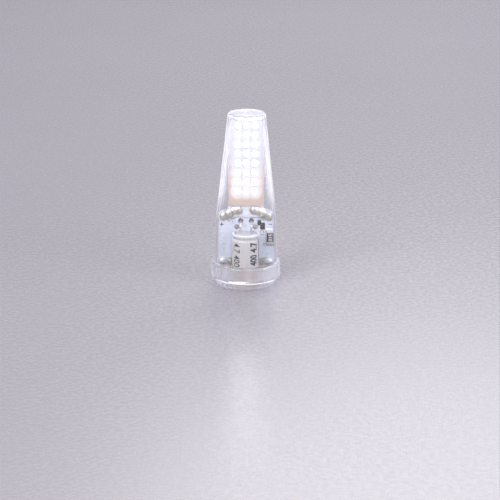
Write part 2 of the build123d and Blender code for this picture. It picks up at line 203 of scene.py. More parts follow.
class CapacitorSizes(bpy.types.PropertyGroup):
    """The electrolytic capacitor."""

    radius: length("Radius", "Outer radius of the sleeve", sleeve_high.x / MM)
    sleeve: length("Sleeve", "Thickness of the sleeve", 0.15)
    groove_drop: length("Groove drop", "Groove below the top", 1.15)
    groove_depth: length("Groove depth", "Depth of the groove", 0.3)
    groove_half: length("Groove half", "Half height of the groove's mouth", 0.5)
    mouth_radius: length("Mouth radius", "Radius of the can's mouth", 2.45)
    bung_depth: length("Bung depth", "Depth of the rubber bung", 1.6)
    lip: length("Lip", "Width of the sleeve's folded edge", 0.45)
    film: colour("Film", "Colour of the sleeve", (0.70, 0.68, 0.66))
    ink: colour("Ink", "Colour of the print", (0.02, 0.016, 0.016))


class BoardLook(bpy.types.PropertyGroup):
    """Colours of the two boards."""

    mask: colour("Mask", "Colour of the driver board's face", (0.78, 0.83, 0.94))
    led_mask: colour("LED board mask", "Colour of the LED board's face", (0.86, 0.88, 0.95))
    fibre: colour("Fibre", "Colour of the cut edges", (0.66, 0.64, 0.52))
    ink: colour("Ink", "Colour of the printed marks", (0.015, 0.012, 0.013))


class StudioLook(bpy.types.PropertyGroup):
    """Floor, lamps and camera."""

    floor: colour("Floor", "Colour of the floor and backdrop", (0.46, 0.44, 0.475))
    sky: strength("Sky", "Light from all round", 0.62)
    key: strength("Key lamp", "Power in watts", 1.9)
    fill: strength("Fill lamp", "Power in watts", 1.0)
    rim: strength("Rim lamp", "Power in watts", 1.4)
    focal: strength("Focal length", "In millimetres", 137.66, 1)
    distance: length("Camera distance", "From the camera to the lamp's axis, level", 433.0)
    height: length("Camera height", "Height of the camera", 140.6)
    side: length("Camera side", "Sideways place of the camera", 1.0)
    pitch: angle("Pitch", "How far the camera looks down", 17.04)
    roll: angle("Roll", "How far the picture is turned", 0.45)


class Graph:
    """Adds nodes to a tree and links them as they are made."""

    def __init__(self, tree):
        self.tree = tree

    def add(self, kind, inputs=None, **settings):
        """A new node. Inputs are values or sockets, by name or number."""
        made = self.tree.nodes.new(kind)
        for key, value in settings.items():
            setattr(made, key, value)
        for key, value in (inputs or {}).items():
            self.feed(made.inputs[key], value)
        return made

    def feed(self, socket, value):
        """Links or sets one input."""
        if isinstance(value, bpy.types.NodeSocket):
            self.tree.links.new(value, socket)
        elif socket.type == "RGBA" and len(value) == 3:
            socket.default_value = (*value, 1.0)
        else:
            socket.default_value = value

    def math(self, operation, a, b=0.0, c=0.0):
        """The result of one sum."""
        return self.add("ShaderNodeMath", {0: a, 1: b, 2: c}, operation=operation).outputs[0]

    def times(self, a, b):
        """One value times another."""
        return self.math("MULTIPLY", a, b)

    def minus(self, a, b):
        """One value less another."""
        return self.math("SUBTRACT", a, b)

    def unsigned(self, value):
        """A value without its sign."""
        return self.math("ABSOLUTE", value)

    def folded(self, operation, terms):
        """Several values taken together, two at a time."""
        out = terms[0]
        for term in terms[1:]:
            out = self.math(operation, out, term)
        return out

    def total(self, *terms):
        """The sum of several values."""
        return self.folded("ADD", terms)

    def least(self, *terms):
        """The smallest of several values."""
        return self.folded("MINIMUM", terms)

    def most(self, *terms):
        """The largest of several values."""
        return self.folded("MAXIMUM", terms)

    def reach(self, across, up):
        """The distance that two sides of a right angle span."""
        return self.math("SQRT", self.total(self.math("POWER", across, 2.0), self.math("POWER", up, 2.0)))

    def blend(self, factor, a, b):
        """A mix of two colours."""
        made = self.add("ShaderNodeMix", {0: factor, 6: a, 7: b}, data_type="RGBA")
        return made.outputs[2]

    def ease(self, value, low, high, to_low=0.0, to_high=1.0):
        """A value carried smoothly from one range to another."""
        made = self.add(
            "ShaderNodeMapRange",
            {"Value": value, "From Min": low, "From Max": high, "To Min": to_low, "To Max": to_high},
            interpolation_type="SMOOTHSTEP",
        )
        return made.outputs["Result"]

    def place(self):
        """Object coordinates."""
        return self.add("ShaderNodeTexCoord").outputs["Object"]

    def axes(self, vector):
        """X, Y and Z of a vector."""
        return self.add("ShaderNodeSeparateXYZ", {0: vector}).outputs

    def stretched(self, vector, scale):
        """A vector scaled along each axis."""
        return self.add("ShaderNodeMapping", {"Vector": vector, "Scale": scale}).outputs[0]

    def noise(self, vector, scale, detail):
        """Noise from 0 to 1, its scale in features a millimetre."""
        made = self.add("ShaderNodeTexNoise", {"Vector": vector, "Scale": scale / MM, "Detail": detail})
        return made.outputs[0]

    def bump(self, height, depth, amount):
        """A normal from a height, its depth in millimetres."""
        inputs = {"Height": height, "Distance": depth * MM, "Strength": amount}
        return self.add("ShaderNodeBump", inputs).outputs[0]


def finish(name):
    """A material with an empty tree, as its graph, and the material."""
    material = bpy.data.materials.new(name)
    material.use_nodes = True
    material.node_tree.nodes.clear()
    return Graph(material.node_tree), material


def surface(graph, shader):
    """Links a shader to the material's output."""
    graph.add("ShaderNodeOutputMaterial", {"Surface": shader.outputs[0]})


def principled(graph, **inputs):
    """A principled shader, its inputs named with underscores for spaces."""
    named = {key.replace("_", " "): value for key, value in inputs.items()}
    return graph.add("ShaderNodeBsdfPrincipled", named)


def shades(tone, share_of):
    """A colour made darker or lighter by a share."""
    return tuple(min(1.0, value * share_of) for value in tone)


def collar_light(graph, x, y, radius):
    """One outside a radius, less towards the two sides, where the lit panel doesn't face."""
    reach = graph.reach(x, y)
    sideways = graph.math("DIVIDE", graph.unsigned(x), reach)
    return graph.times(graph.math("GREATER_THAN", reach, radius), graph.ease(sideways, 0.93, 0.74, 0.1, 1.0))


def flux_stain_and_bar_shade(graph, place, tint, box):
    """A blotchy flux stain in a box, given by its low and high corner, and the colour that goes with it, with a
    painted beige shade down the middle, where the shaded bar is seen through.
    """
    sides = [
        graph.times(graph.math("GREATER_THAN", value, low), graph.math("LESS_THAN", value, high))
        for value, low, high in zip(graph.axes(place), *box)
    ]
    blotches = graph.noise(place, 0.8, 3.0)
    stain = graph.times(graph.least(*sides), graph.ease(blotches, 0.3, 0.65, 0.35, 0.8))
    # Painted shade: beige in blotches where |x| is under about 4.6 mm, on all the base plastic
    aside = graph.unsigned(graph.axes(place)["X"])
    middle = graph.times(graph.ease(aside, 4.6 * MM, 1.6 * MM), graph.ease(blotches, 0.3, 0.65, 0.35, 0.6))
    return stain, graph.blend(stain, graph.blend(middle, tint, PAINTED_BAR_SHADE), FLUX_ON_PLASTIC)


def clear_plastic(name, look, roughness, lit_low, lit_high, lit_soft, collar_radius=0.0, bar=None):
    """Moulded clear plastic: flow waves, haze that gathers where it is seen edge-on, lamps let through.

    Everywhere the milky share carries a weak painted glow. Between the heights lit_low and lit_high,
    with collar_radius only outside that radius, it carries a stronger painted glow and more milk, a
    painted highlight that stands in for light the plastic guides. The box given as bar has a stain of
    flux, and a painted beige shade runs down the middle, where the shaded bar is seen through.
    """
    tint = look.tint
    graph, material = finish(name)
    place = graph.place()
    x, y, height = graph.axes(place)
    waves = graph.noise(graph.stretched(place, (1.0, 1.0, 0.25)), 0.22, 1.0)
    specks = graph.noise(place, 3.0, 3.0)
    normal = graph.bump(graph.total(waves, graph.times(specks, 0.01)), 0.05, 0.4)
    clear = principled(
        graph,
        Base_Color=tint,
        Roughness=graph.ease(specks, 0.3, 0.75, roughness, roughness * 2.2),
        IOR=PLASTIC_IOR,
        Specular_IOR_Level=0.25,
        Transmission_Weight=1.0,
        Normal=normal,
    )
    # Mask of the lit stretch, where the plastic takes a painted glow and more milk
    painted_glow_band = graph.times(
        graph.ease(height, lit_low - lit_soft, lit_low), graph.ease(height, lit_high + lit_soft, lit_high)
    )
    if collar_radius:
        painted_glow_band = graph.times(painted_glow_band, collar_light(graph, x, y, collar_radius))
    edge = graph.add("ShaderNodeLayerWeight", {"Blend": 0.35}).outputs["Facing"]
    start = graph.ease(height, 14.0 * MM, 22.0 * MM, 0.42, 0.16)
    streaks = graph.noise(graph.stretched(place, (1.0, 1.0, 0.05)), 1.3, 2.0)
    even = graph.ease(height, lit_high + 0.55 * lit_soft, lit_high + 0.8 * lit_soft)
    rim = graph.times(graph.ease(edge, start, graph.math("ADD", start, 0.5)), look.haze)
    rim = graph.times(rim, graph.most(even, graph.ease(streaks, 0.38, 0.6, 0.72, 1.0)))
    veil = graph.ease(waves, 0.35, 0.8, look.veil * 0.5, look.veil)
    milk = graph.total(rim, graph.math("MULTIPLY_ADD", painted_glow_band, look.lit_veil, veil))
    pale = tint
    if bar:
        # A flux stain on the bar box, and a painted beige shade down the middle
        stain, pale = flux_stain_and_bar_shade(graph, place, tint, bar)
        milk = graph.total(milk, graph.times(stain, 0.7))
    # Painted glow: emission in the milky share, weak everywhere and stronger in the lit stretch
    painted_glow_strength = graph.math("MULTIPLY_ADD", painted_glow_band, look.lit_power, look.dim_power)
    painted_glow = graph.add("ShaderNodeEmission", {"Color": PAINTED_GLOW_TONE, "Strength": painted_glow_strength})
    milky = graph.add("ShaderNodeBsdfTranslucent", {"Color": pale, "Normal": normal})
    chalk = graph.add("ShaderNodeBsdfDiffuse", {"Color": pale, "Normal": normal})
    cloud = graph.add("ShaderNodeMixShader", {0: 0.5, 1: milky.outputs[0], 2: chalk.outputs[0]})
    cloud = graph.add("ShaderNodeAddShader", {0: cloud.outputs[0], 1: painted_glow.outputs[0]})
    body = graph.add("ShaderNodeMixShader", {0: milk, 1: clear.outputs[0], 2: cloud.outputs[0]})
    through = graph.add("ShaderNodeBsdfTransparent", {"Color": tint})
    shadow = graph.times(graph.add("ShaderNodeLightPath").outputs["Is Shadow Ray"], LAMPS_LET_THROUGH)
    surface(graph, graph.add("ShaderNodeMixShader", {0: shadow, 1: body.outputs[0], 2: through.outputs[0]}))
    return material


def metal(name, tone, rough_low, rough_high, grain=(1.0, 1.0, 1.0), grain_scale=3.0, wear=0.25):
    """Metal with grain along one way and duller patches."""
    graph, material = finish(name)
    place = graph.place()
    streaks = graph.noise(graph.stretched(place, grain), grain_scale, 4.0)
    patches = graph.noise(place, 0.9, 3.0)
    body = principled(
        graph,
        Base_Color=graph.blend(graph.ease(patches, 0.5, 0.8, 0.0, wear), tone, DULL_METAL),
        Metallic=1.0,
        Roughness=graph.ease(streaks, 0.3, 0.75, rough_low, rough_high),
        Normal=graph.bump(streaks, 0.012, 0.6),
    )
    surface(graph, body)
    return material


def moulded(name, tone, alternate, rough_low, rough_high, scale=4.0, depth=0.01):
    """Moulded or fired stuff: fine grain in colour, gloss and relief."""
    graph, material = finish(name)
    place = graph.place()
    grain = graph.noise(place, scale, 5.0)
    cloud = graph.noise(place, scale / 6, 2.0)
    base = graph.blend(graph.ease(cloud, 0.3, 0.75), tone, alternate)
    base = graph.blend(graph.ease(grain, 0.35, 0.9, 0.0, 0.35), base, alternate)
    body = principled(
        graph,
        Base_Color=base,
        Roughness=graph.ease(grain, 0.25, 0.8, rough_low, rough_high),
        Normal=graph.bump(grain, depth, 0.7),
    )
    surface(graph, body)
    return material


# Copper under the driver board's mask: left, right, low and high, in millimetres.
FRONT_POURS = (
    (-6.1, -3.6, 7.2, 12.6),
    (-6.1, -3.2, 13.1, 16.0),
    (-2.2, -0.35, 12.9, 15.9),
    (0.35, 2.3, 12.9, 15.9),
    (3.55, 4.55, 4.7, 12.4),
    (4.75, 6.3, 4.7, 9.0),
    (4.55, 6.15, 13.4, 16.4),
)
REAR_POURS = (
    (-6.1, -4.9, 6.9, 12.7),
    (-4.3, -1.9, 12.9, 16.2),
    (-1.4, 1.5, 6.9, 8.2),
    (0.5, 5.8, 12.9, 13.2),
    (2.4, 5.7, 14.6, 16.4),
    (4.9, 6.1, 4.8, 7.0),
)
LED_POURS = ((-0.6, 0.6, 16.6, 18.9),)
HOLES = ((-1.25, 15.18), (1.25, 15.18), (-2.15, 13.65), (2.15, 13.65))
# Reach of the painted hole shade round each hole
HOLE_SHADE_REACH = (0.66 * MM, 0.58 * MM)


def pour_mask(graph, x, z, pours):
    """One where copper lies under the mask."""
    covered = 0.0
    for left, right, low, high in pours:
        across = graph.least(graph.minus(x, left * MM), graph.minus(right * MM, x))
        inside = graph.least(across, graph.minus(z, low * MM), graph.minus(high * MM, z))
        covered = graph.most(covered, graph.ease(inside, -0.02 * MM, 0.06 * MM))
    return covered


def hole_mask(graph, x, z):
    """One in the driver board's holes and in a narrow ring round them, where painted shade goes."""
    near = 0.0
    for hole_x, hole_z in HOLES:
        reach = graph.reach(graph.minus(x, hole_x * MM), graph.minus(z, hole_z * MM))
        near = graph.most(near, graph.ease(reach, *HOLE_SHADE_REACH))
    return near


def board_finish(name, mask, fibre, low, high, pours_front, pours_rear):
    """A masked board: copper relief on its faces, glass fibre on its cut edges, and painted shade, dark brown,
    in and round the holes.
    """
    graph, material = finish(name)
    place = graph.place()
    x, y, z = graph.axes(place)
    middle = (low.y + high.y) / 2
    half = (high.y - low.y) / 2
    away = graph.unsigned(graph.minus(y, middle))
    cut_edge = graph.ease(away, half - 0.03 * MM, half - 0.09 * MM)
    behind = graph.math("GREATER_THAN", y, middle)
    copper = graph.total(
        graph.times(pour_mask(graph, x, z, pours_front), graph.minus(1.0, behind)),
        graph.times(pour_mask(graph, x, z, pours_rear), behind),
    )
    threads = graph.stretched(place, (0.0, 1.0, 0.15))
    bands = {"Vector": threads, "Scale": 3.5 / MM, "Distortion": 1.5, "Detail": 2.0}
    weave = graph.add("ShaderNodeTexWave", bands, bands_direction="Y").outputs[1]
    mottle = graph.noise(place, 1.2, 4.0)
    peel = graph.noise(place, 5.0, 2.0)
    hole_shade = hole_mask(graph, x, z)
    face = graph.blend(graph.ease(mottle, 0.3, 0.8, 0.0, 0.35), mask, shades(mask, 0.86))
    face = graph.blend(graph.times(copper, 0.3), face, shades(mask, 1.13))
    # Painted shade: dark brown in the holes and a narrow ring round them, darker on the cut edges
    face = graph.blend(hole_shade, face, (0.42, 0.33, 0.24))
    edge = graph.blend(graph.ease(weave, 0.2, 0.8, 0.0, 0.6), fibre, shades(fibre, 0.7))
    edge = graph.blend(hole_shade, edge, (0.30, 0.20, 0.12))
    body = principled(
        graph,
        Base_Color=graph.blend(cut_edge, face, edge),
        Roughness=graph.total(graph.ease(peel, 0.3, 0.7, 0.2, 0.32), graph.times(cut_edge, 0.35)),
        Coat_Weight=0.2,
        Coat_Roughness=0.12,
        Normal=graph.bump(graph.total(copper, graph.times(peel, 0.15)), 0.04, 0.8),
    )
    surface(graph, body)
    return material


def lit_coat(name, look):
    """The warm coat with rounded dots of light, a paler glow round them and an unlit lower margin."""
    graph, material = finish(name)
    place = graph.place()
    x, _, z = graph.axes(place)

    def off_centre(value, start, pitch, count):
        """Distance to the nearest dot's middle along one axis."""
        step = graph.math("ROUND", graph.math("DIVIDE", graph.minus(value, start), pitch))
        step = graph.least(graph.most(step, 0.0), count - 1.0)
        return graph.unsigned(graph.minus(value, graph.math("MULTIPLY_ADD", step, pitch, start)))

    across = off_centre(x, (1 - look.columns) / 2 * look.pitch_x, look.pitch_x, look.columns)
    up = graph.times(off_centre(z, look.first_row, look.pitch_z, look.rows), 0.93)
    spread = graph.total(graph.math("POWER", across, DOT_CORNER), graph.math("POWER", up, DOT_CORNER))
    reach = graph.math("POWER", spread, 1 / DOT_CORNER)
    dot = graph.math("POWER", graph.ease(reach, look.dot_half * 1.2, look.dot_half * 0.72), 3.0)
    halo = graph.ease(reach, 2.3 * MM, 1.1 * MM)
    upper = graph.ease(z, look.first_row - 0.6 * MM, look.first_row + 10.0 * MM)
    grain = graph.noise(place, 6.0, 3.0)
    cloud = graph.noise(place, 0.7, 2.0)
    near = graph.times(halo, graph.ease(upper, 0.0, 1.0, look.gap_power, look.gap_power * 0.45))
    margin = graph.times(graph.ease(upper, 0.0, 1.0, 0.75, 1.6), look.margin_power)
    glow = graph.blend(graph.most(halo, upper), look.coat, look.glow)
    base = graph.blend(graph.ease(cloud, 0.3, 0.8, 0.0, 0.5), look.coat, shades(look.coat, 0.93))
    body = principled(
        graph,
        # Painted light: the coat's base colour turns cool grey up the lit stretch, the lit look of the same
        # warm coat
        Base_Color=graph.blend(graph.times(upper, 0.7), base, (0.60, 0.62, 0.68)),
        Roughness=graph.ease(grain, 0.3, 0.7, 0.35, 0.5),
        Subsurface_Weight=0.15,
        Subsurface_Radius=(0.4 * MM, 0.25 * MM, 0.15 * MM),
        Subsurface_Scale=1.0,
        Emission_Color=graph.blend(dot, glow, (1.0, 0.99, 1.0)),
        Emission_Strength=graph.total(graph.times(dot, look.dot_power), near, margin),
        Normal=graph.bump(grain, 0.02, 0.5),
    )
    surface(graph, body)
    return material


def sleeve_film(name, film, low, high):
    """Shrink film: soft gloss, fine drawn lines up its length, and a painted highlight: paler film at its top
    and bottom edges.
    """
    graph, material = finish(name)
    place = graph.place()
    z = graph.axes(place)["Z"]
    lines = graph.noise(graph.stretched(place, (1.0, 1.0, 0.06)), 2.2, 3.0)
    cloud = graph.noise(place, 0.5, 2.0)
    # Painted highlight: paler film towards the top and bottom edges, standing in for the panel's light on the
    # lip
    rim_highlight = graph.most(graph.ease(z, high - 0.75 * MM, high - 0.3 * MM), graph.ease(z, low + 0.3 * MM, low))
    base = graph.blend(graph.ease(cloud, 0.3, 0.8, 0.0, 0.4), film, shades(film, 0.9))
    body = principled(
        graph,
        Base_Color=graph.blend(graph.times(rim_highlight, 0.7), base, (0.86, 0.87, 0.9)),
        Roughness=graph.ease(lines, 0.3, 0.7, 0.22, 0.34),
        Coat_Weight=0.5,
        Coat_Roughness=0.1,
        Normal=graph.bump(graph.total(lines, cloud), 0.03, 0.5),
    )
    surface(graph, body)
    return material


def solder_finish(name):
    """Bright solder with a frosted skin. The lower sides of the board joints are beige, partly flux and partly
    painted shade. The resistor's lower terminal band has painted shade, and the lower and inner sides
    of the pin drops have a dark painted shade. Blotches of flux lie all over.
    """
    graph, material = finish(name)
    place = graph.place()
    frost = graph.noise(place, 3.5, 5.0)
    pools = graph.noise(place, 0.8, 3.0)
    x, _, z = graph.axes(place)
    out = graph.unsigned(x)
    # Painted shade, partly flux too: beige below a slanting line on the board joints, whose tops stay bright
    sloping = graph.math("MULTIPLY_ADD", out, 0.45, z)
    joints = graph.times(
        graph.ease(sloping, 19.7 * MM, 19.0 * MM), graph.math("GREATER_THAN", z, JOINTS_ABOVE)
    )
    # Painted shade: dark on the lower and inner sides of the pin drops
    ragged = graph.math("MULTIPLY_ADD", pools, 1.6 * MM, out)
    pins = graph.times(
        graph.most(graph.ease(z, 5.6 * MM, 4.8 * MM), graph.ease(ragged, 6.4 * MM, 4.4 * MM)),
        graph.math("LESS_THAN", z, PINS_BELOW),
    )
    # Painted shade: beige on the lower terminal band of the resistor
    bands = graph.times(graph.ease(z, 10.6 * MM, 9.4 * MM), graph.math("GREATER_THAN", z, PINS_BELOW))
    # Share of the flux-and-shade colour: these painted shades, and blotches of flux all over
    flux = graph.total(graph.most(joints, pins, bands), graph.ease(pools, 0.5, 0.75, 0.0, 0.3))
    flux = graph.times(flux, 0.85)
    flux_and_shade_tone = graph.blend(pins, FLUX_AND_SHADE_ON_SOLDER, PAINTED_PIN_SHADE)
    body = principled(
        graph,
        Base_Color=graph.blend(flux, (0.93, 0.94, 0.97), flux_and_shade_tone),
        Metallic=graph.ease(flux, 0.0, 1.0, 0.7, 0.35),
        Roughness=graph.ease(frost, 0.3, 0.75, 0.28, 0.46),
        Coat_Weight=0.2,
        Coat_Roughness=0.15,
        Normal=graph.bump(graph.total(frost, pools), 0.02, 0.35),
    )
    surface(graph, body)
    return material


def ink_finish(name, tone):
    """Printed ink with thin and thick places."""
    graph, material = finish(name)
    place = graph.place()
    thin = graph.noise(place, 5.0, 4.0)
    paler = tuple(min(1.0, value + 0.03) for value in tone)
    body = principled(
        graph,
        Base_Color=graph.blend(graph.ease(thin, 0.45, 0.85, 0.0, 0.7), tone, paler),
        Roughness=graph.ease(thin, 0.3, 0.7, 0.35, 0.6),
        Normal=graph.bump(thin, 0.006, 0.5),
    )
    surface(graph, body)
    return material


def floor_finish(name, tone):
    """A pale satin table top, with the sheen that shows the lamp's light as a streak."""
    graph, material = finish(name)
    place = graph.place()
    cloud = graph.noise(place, 0.012, 3.0)
    grain = graph.noise(place, 0.9, 4.0)
    body = principled(
        graph,
        Base_Color=graph.blend(graph.ease(cloud, 0.3, 0.75, 0.0, 0.5), tone, shades(tone, 0.95)),
        Roughness=graph.ease(grain, 0.3, 0.7, 0.22, 0.32),
        Normal=graph.bump(grain, 0.02, 0.2),
    )
    surface(graph, body)
    return material


def new_tree(name, inputs):
    """A geometry tree with named inputs: its graph, and its input sockets by name."""
    tree = bpy.data.node_groups.new(name, "GeometryNodeTree")
    for label, kind, default in inputs:
        socket = tree.interface.new_socket(name=label, in_out="INPUT", socket_type="NodeSocket" + kind)
        if default is not None:
            socket.default_value = default
    tree.interface.new_socket(name="Geometry", in_out="OUTPUT", socket_type="NodeSocketGeometry")
    graph = Graph(tree)
    return graph, graph.add("NodeGroupInput").outputs


def close_tree(graph, geometry, material):
    """Ends a tree: instances made real, then shaded smooth and given the material."""
    smooth = graph.add("GeometryNodeSetShadeSmooth", {"Geometry": geometry, "Shade Smooth": True})
    real = graph.add("GeometryNodeRealizeInstances", {"Geometry": smooth.outputs[0]})
    painted = graph.add("GeometryNodeSetMaterial", {"Geometry": real.outputs[0], "Material": material})
    graph.add("NodeGroupOutput", {"Geometry": painted.outputs[0]})
    return graph.tree


def turn(graph, edges, ring, steps, round_steps):
    """Nodes that turn a section, a chain of edges in X and Z, about the Z axis."""
    line = graph.add("GeometryNodeMeshToCurve", {"Mesh": edges}).outputs[0]
    corner = graph.add("GeometryNodeInputNamedAttribute", {"Name": "round"}, data_type="FLOAT").outputs[0]
    eased = graph.add(
        "GeometryNodeFilletCurve",
        {"Curve": line, "Count": round_steps, "Radius": corner, "Limit Radius": True},
        mode="POLY",
    ).outputs[0]
    section = graph.add("GeometryNodeCurveToMesh", {"Curve": eased}).outputs[0]
    count = graph.add("GeometryNodeAttributeDomainSize", {"Geometry": section}, component="MESH").outputs[0]
    columns = graph.math("ADD", count, ring)
    rows = graph.math("ADD", steps, 1.0)
    skin = graph.add(
        "GeometryNodeMeshGrid", {"Size X": 1.0, "Size Y": 1.0, "Vertices X": columns, "Vertices Y": rows}
    ).outputs[0]
    index = graph.add("GeometryNodeInputIndex").outputs[0]
    column = graph.math("FLOOR", graph.math("DIVIDE", graph.math("ADD", index, 0.5), rows))
    row = graph.minus(index, graph.times(column, rows))
    wrapped = graph.math("MODULO", column, count)
    where = graph.add("GeometryNodeInputPosition").outputs[0]
    sample = graph.add(
        "GeometryNodeSampleIndex",
        {"Geometry": section, "Value": where, "Index": wrapped},
        data_type="FLOAT_VECTOR",
        domain="POINT",
    ).outputs[0]
    radius, _, height = graph.axes(sample)
    bearing = graph.times(graph.math("DIVIDE", row, steps), math.tau)
    spot = graph.add(
        "ShaderNodeCombineXYZ",
        {
            "X": graph.times(radius, graph.math("COSINE", bearing)),
            "Y": graph.times(radius, graph.math("SINE", bearing)),
            "Z": height,
        },
    ).outputs[0]
    placed = graph.add("GeometryNodeSetPosition", {"Geometry": skin, "Position": spot}).outputs[0]
    return graph.add("GeometryNodeMergeByDistance", {"Geometry": placed, "Distance": 4 * MERGE}).outputs[0]


def turned_tree():
    """Any turned part, from a section drawn as edges."""
    graph, given = new_tree(
        "Turned part",
        [
            ("Section", "Geometry", None),
            ("Closed ring", "Bool", False),
            ("Steps around", "Int", 96),
            ("Steps in a round", "Int", 5),
            ("Material", "Material", None),
        ],
    )
    steps, round_steps = given["Steps around"], given["Steps in a round"]
    skin = turn(graph, given["Section"], given["Closed ring"], steps, round_steps)
    return close_tree(graph, skin, given["Material"])


COVER_INPUTS = (
    "Foot height",
    "Top height",
    "Foot radius",
    "Bend height",
    "Bend round",
    "Lower draft",
    "Upper draft",
    "Wall at foot",
    "Wall at top",
    "Roof",
    "Edge round",
)


def cover_tree():
    """The clear cover, whose section follows from its drafts, its bend and its wall."""
    sizes = [(label, "Float", None) for label in COVER_INPUTS]
    steps = [("Steps around", "Int", 128), ("Steps in a round", "Int", 8), ("Material", "Material", None)]
    graph, given = new_tree("Clear cover", sizes + steps)
    foot, top, bend = given["Foot height"], given["Top height"], given["Bend height"]
    rise = graph.minus(top, foot)
    lower = graph.math("TANGENT", given["Lower draft"])
    upper = graph.math("TANGENT", given["Upper draft"])
    lean = graph.times(graph.minus(bend, foot), lower)
    bend_radius = graph.minus(given["Foot radius"], lean)

    def outer(height):
        """Outer radius above the bend."""
        above = graph.times(graph.minus(height, bend), upper)
        return graph.minus(bend_radius, above)

    def wall(height):
        """Wall thickness at a height."""
        part = graph.math("DIVIDE", graph.minus(height, foot), rise)
        thinning = graph.minus(given["Wall at foot"], given["Wall at top"])
        return graph.minus(given["Wall at foot"], graph.times(part, thinning))

    ceiling = graph.minus(top, given["Roof"])
    inner_round = graph.times(given["Edge round"], 0.7)
    lip = graph.times(given["Edge round"], 0.2)
    corners = [
        (0.0, ceiling, 0.0),
        (graph.minus(outer(ceiling), wall(ceiling)), ceiling, inner_round),
        (graph.minus(bend_radius, wall(bend)), bend, given["Bend round"]),
        (graph.minus(given["Foot radius"], given["Wall at foot"]), foot, lip),
        (given["Foot radius"], foot, lip),
        (bend_radius, bend, given["Bend round"]),
        (outer(top), top, given["Edge round"]),
        (0.0, top, 0.0),
    ]
    index = graph.add("GeometryNodeInputIndex").outputs[0]
    spots = graph.add("GeometryNodeIndexSwitch", {"Index": index}, data_type="VECTOR")
    rounds = graph.add("GeometryNodeIndexSwitch", {"Index": index}, data_type="FLOAT")
    for _ in corners[2:]:
        spots.index_switch_items.new()
        rounds.index_switch_items.new()
    for number, (radius, height, corner) in enumerate(corners):
        point = graph.add("ShaderNodeCombineXYZ", {"X": radius, "Z": height}).outputs[0]
        graph.feed(spots.inputs[number + 1], point)
        graph.feed(rounds.inputs[number + 1], corner)
    line = graph.add("GeometryNodeMeshLine", {"Count": len(corners)}).outputs[0]
    shaped = graph.add("GeometryNodeSetPosition", {"Geometry": line, "Position": spots.outputs[0]}).outputs[0]
    marked = graph.add(
        "GeometryNodeStoreNamedAttribute",
        {"Geometry": shaped, "Name": "round", "Value": rounds.outputs[0]},
        data_type="FLOAT",
        domain="POINT",
    ).outputs[0]
    skin = turn(graph, marked, 0.0, given["Steps around"], given["Steps in a round"])
    return close_tree(graph, skin, given["Material"])


def wire_tree():
    """Round wire bent along straight runs."""
    graph, given = new_tree(
        "Bent wire",
        [
            ("Route", "Geometry", None),
            ("Diameter", "Float", 0.0008),
            ("Bend radius", "Float", 0.001),
            ("Steps in a bend", "Int", 12),
            ("Steps around", "Int", 24),
            ("Material", "Material", None),
        ],
    )
    line = graph.add("GeometryNodeMeshToCurve", {"Mesh": given["Route"]}).outputs[0]
    eased = graph.add(
        "GeometryNodeFilletCurve",
        {
            "Curve": line,
            "Count": given["Steps in a bend"],
            "Radius": given["Bend radius"],
            "Limit Radius": True,
        },
        mode="POLY",
    ).outputs[0]
    radius = graph.times(given["Diameter"], 0.5)
    size = {"Resolution": given["Steps around"], "Radius": radius}
    ring = graph.add("GeometryNodeCurvePrimitiveCircle", size, mode="RADIUS").outputs[0]
    swept = {"Curve": eased, "Profile Curve": ring, "Fill Caps": True}
    tube = graph.add("GeometryNodeCurveToMesh", swept).outputs[0]
    return close_tree(graph, tube, given["Material"])


def marks_tree():
    """Rows and columns of thin plates with rounded corners, such as pads, vias and printed bars."""
    graph, given = new_tree(
        "Repeated marks",
        [
            ("Columns", "Int", 2),
            ("Rows", "Int", 2),
            ("Column pitch", "Float", 0.001),
            ("Row pitch", "Float", 0.001),
            ("Width", "Float", 0.001),
            ("Height", "Float", 0.001),
            ("Corner", "Float", 0.0001),
            ("Thickness", "Float", 0.00002),
            ("Material", "Material", None),
        ],
    )
    spans = [
        graph.times(graph.minus(given[count], 1.0), given[pitch])
        for count, pitch in (("Columns", "Column pitch"), ("Rows", "Row pitch"))
    ]
    grid = {"Size X": spans[0], "Size Y": spans[1], "Vertices X": given["Columns"], "Vertices Y": given["Rows"]}
    spots = graph.add("GeometryNodeMeshGrid", grid).outputs[0]
    outline = graph.add(
        "GeometryNodeCurvePrimitiveQuadrilateral", {"Width": given["Width"], "Height": given["Height"]}
    ).outputs[0]
    eased = graph.add(
        "GeometryNodeFilletCurve",
        {"Curve": outline, "Count": 5, "Radius": given["Corner"], "Limit Radius": True},
        mode="POLY",
    ).outputs[0]
    face = graph.add("GeometryNodeFillCurve", {"Curve": eased}, mode="NGONS").outputs[0]
    up = graph.add("ShaderNodeCombineXYZ", {"Z": given["Thickness"]}).outputs[0]
    raised = graph.add(
        "GeometryNodeExtrudeMesh", {"Mesh": face, "Offset": up, "Offset Scale": 1.0}, mode="FACES"
    ).outputs[0]
    under = graph.add("GeometryNodeFlipFaces", {"Mesh": face}).outputs[0]
    both = graph.add("GeometryNodeJoinGeometry")
    graph.feed(both.inputs[0], raised)
    graph.feed(both.inputs[0], under)
    plate = graph.add("GeometryNodeMergeByDistance", {"Geometry": both.outputs[0], "Distance": 2 * MERGE})
    copies = graph.add("GeometryNodeInstanceOnPoints", {"Points": spots, "Instance": plate.outputs[0]})
    return close_tree(graph, copies.outputs[0], given["Material"])


TREE_MAKERS = {"cover": cover_tree, "turned": turned_tree, "wire": wire_tree, "marks": marks_tree}
TREES = {}


def tree_named(name):
    """One of the geometry trees, built the first time it is asked for."""
    if name not in TREES:
        TREES[name] = TREE_MAKERS[name]()
    return TREES[name]


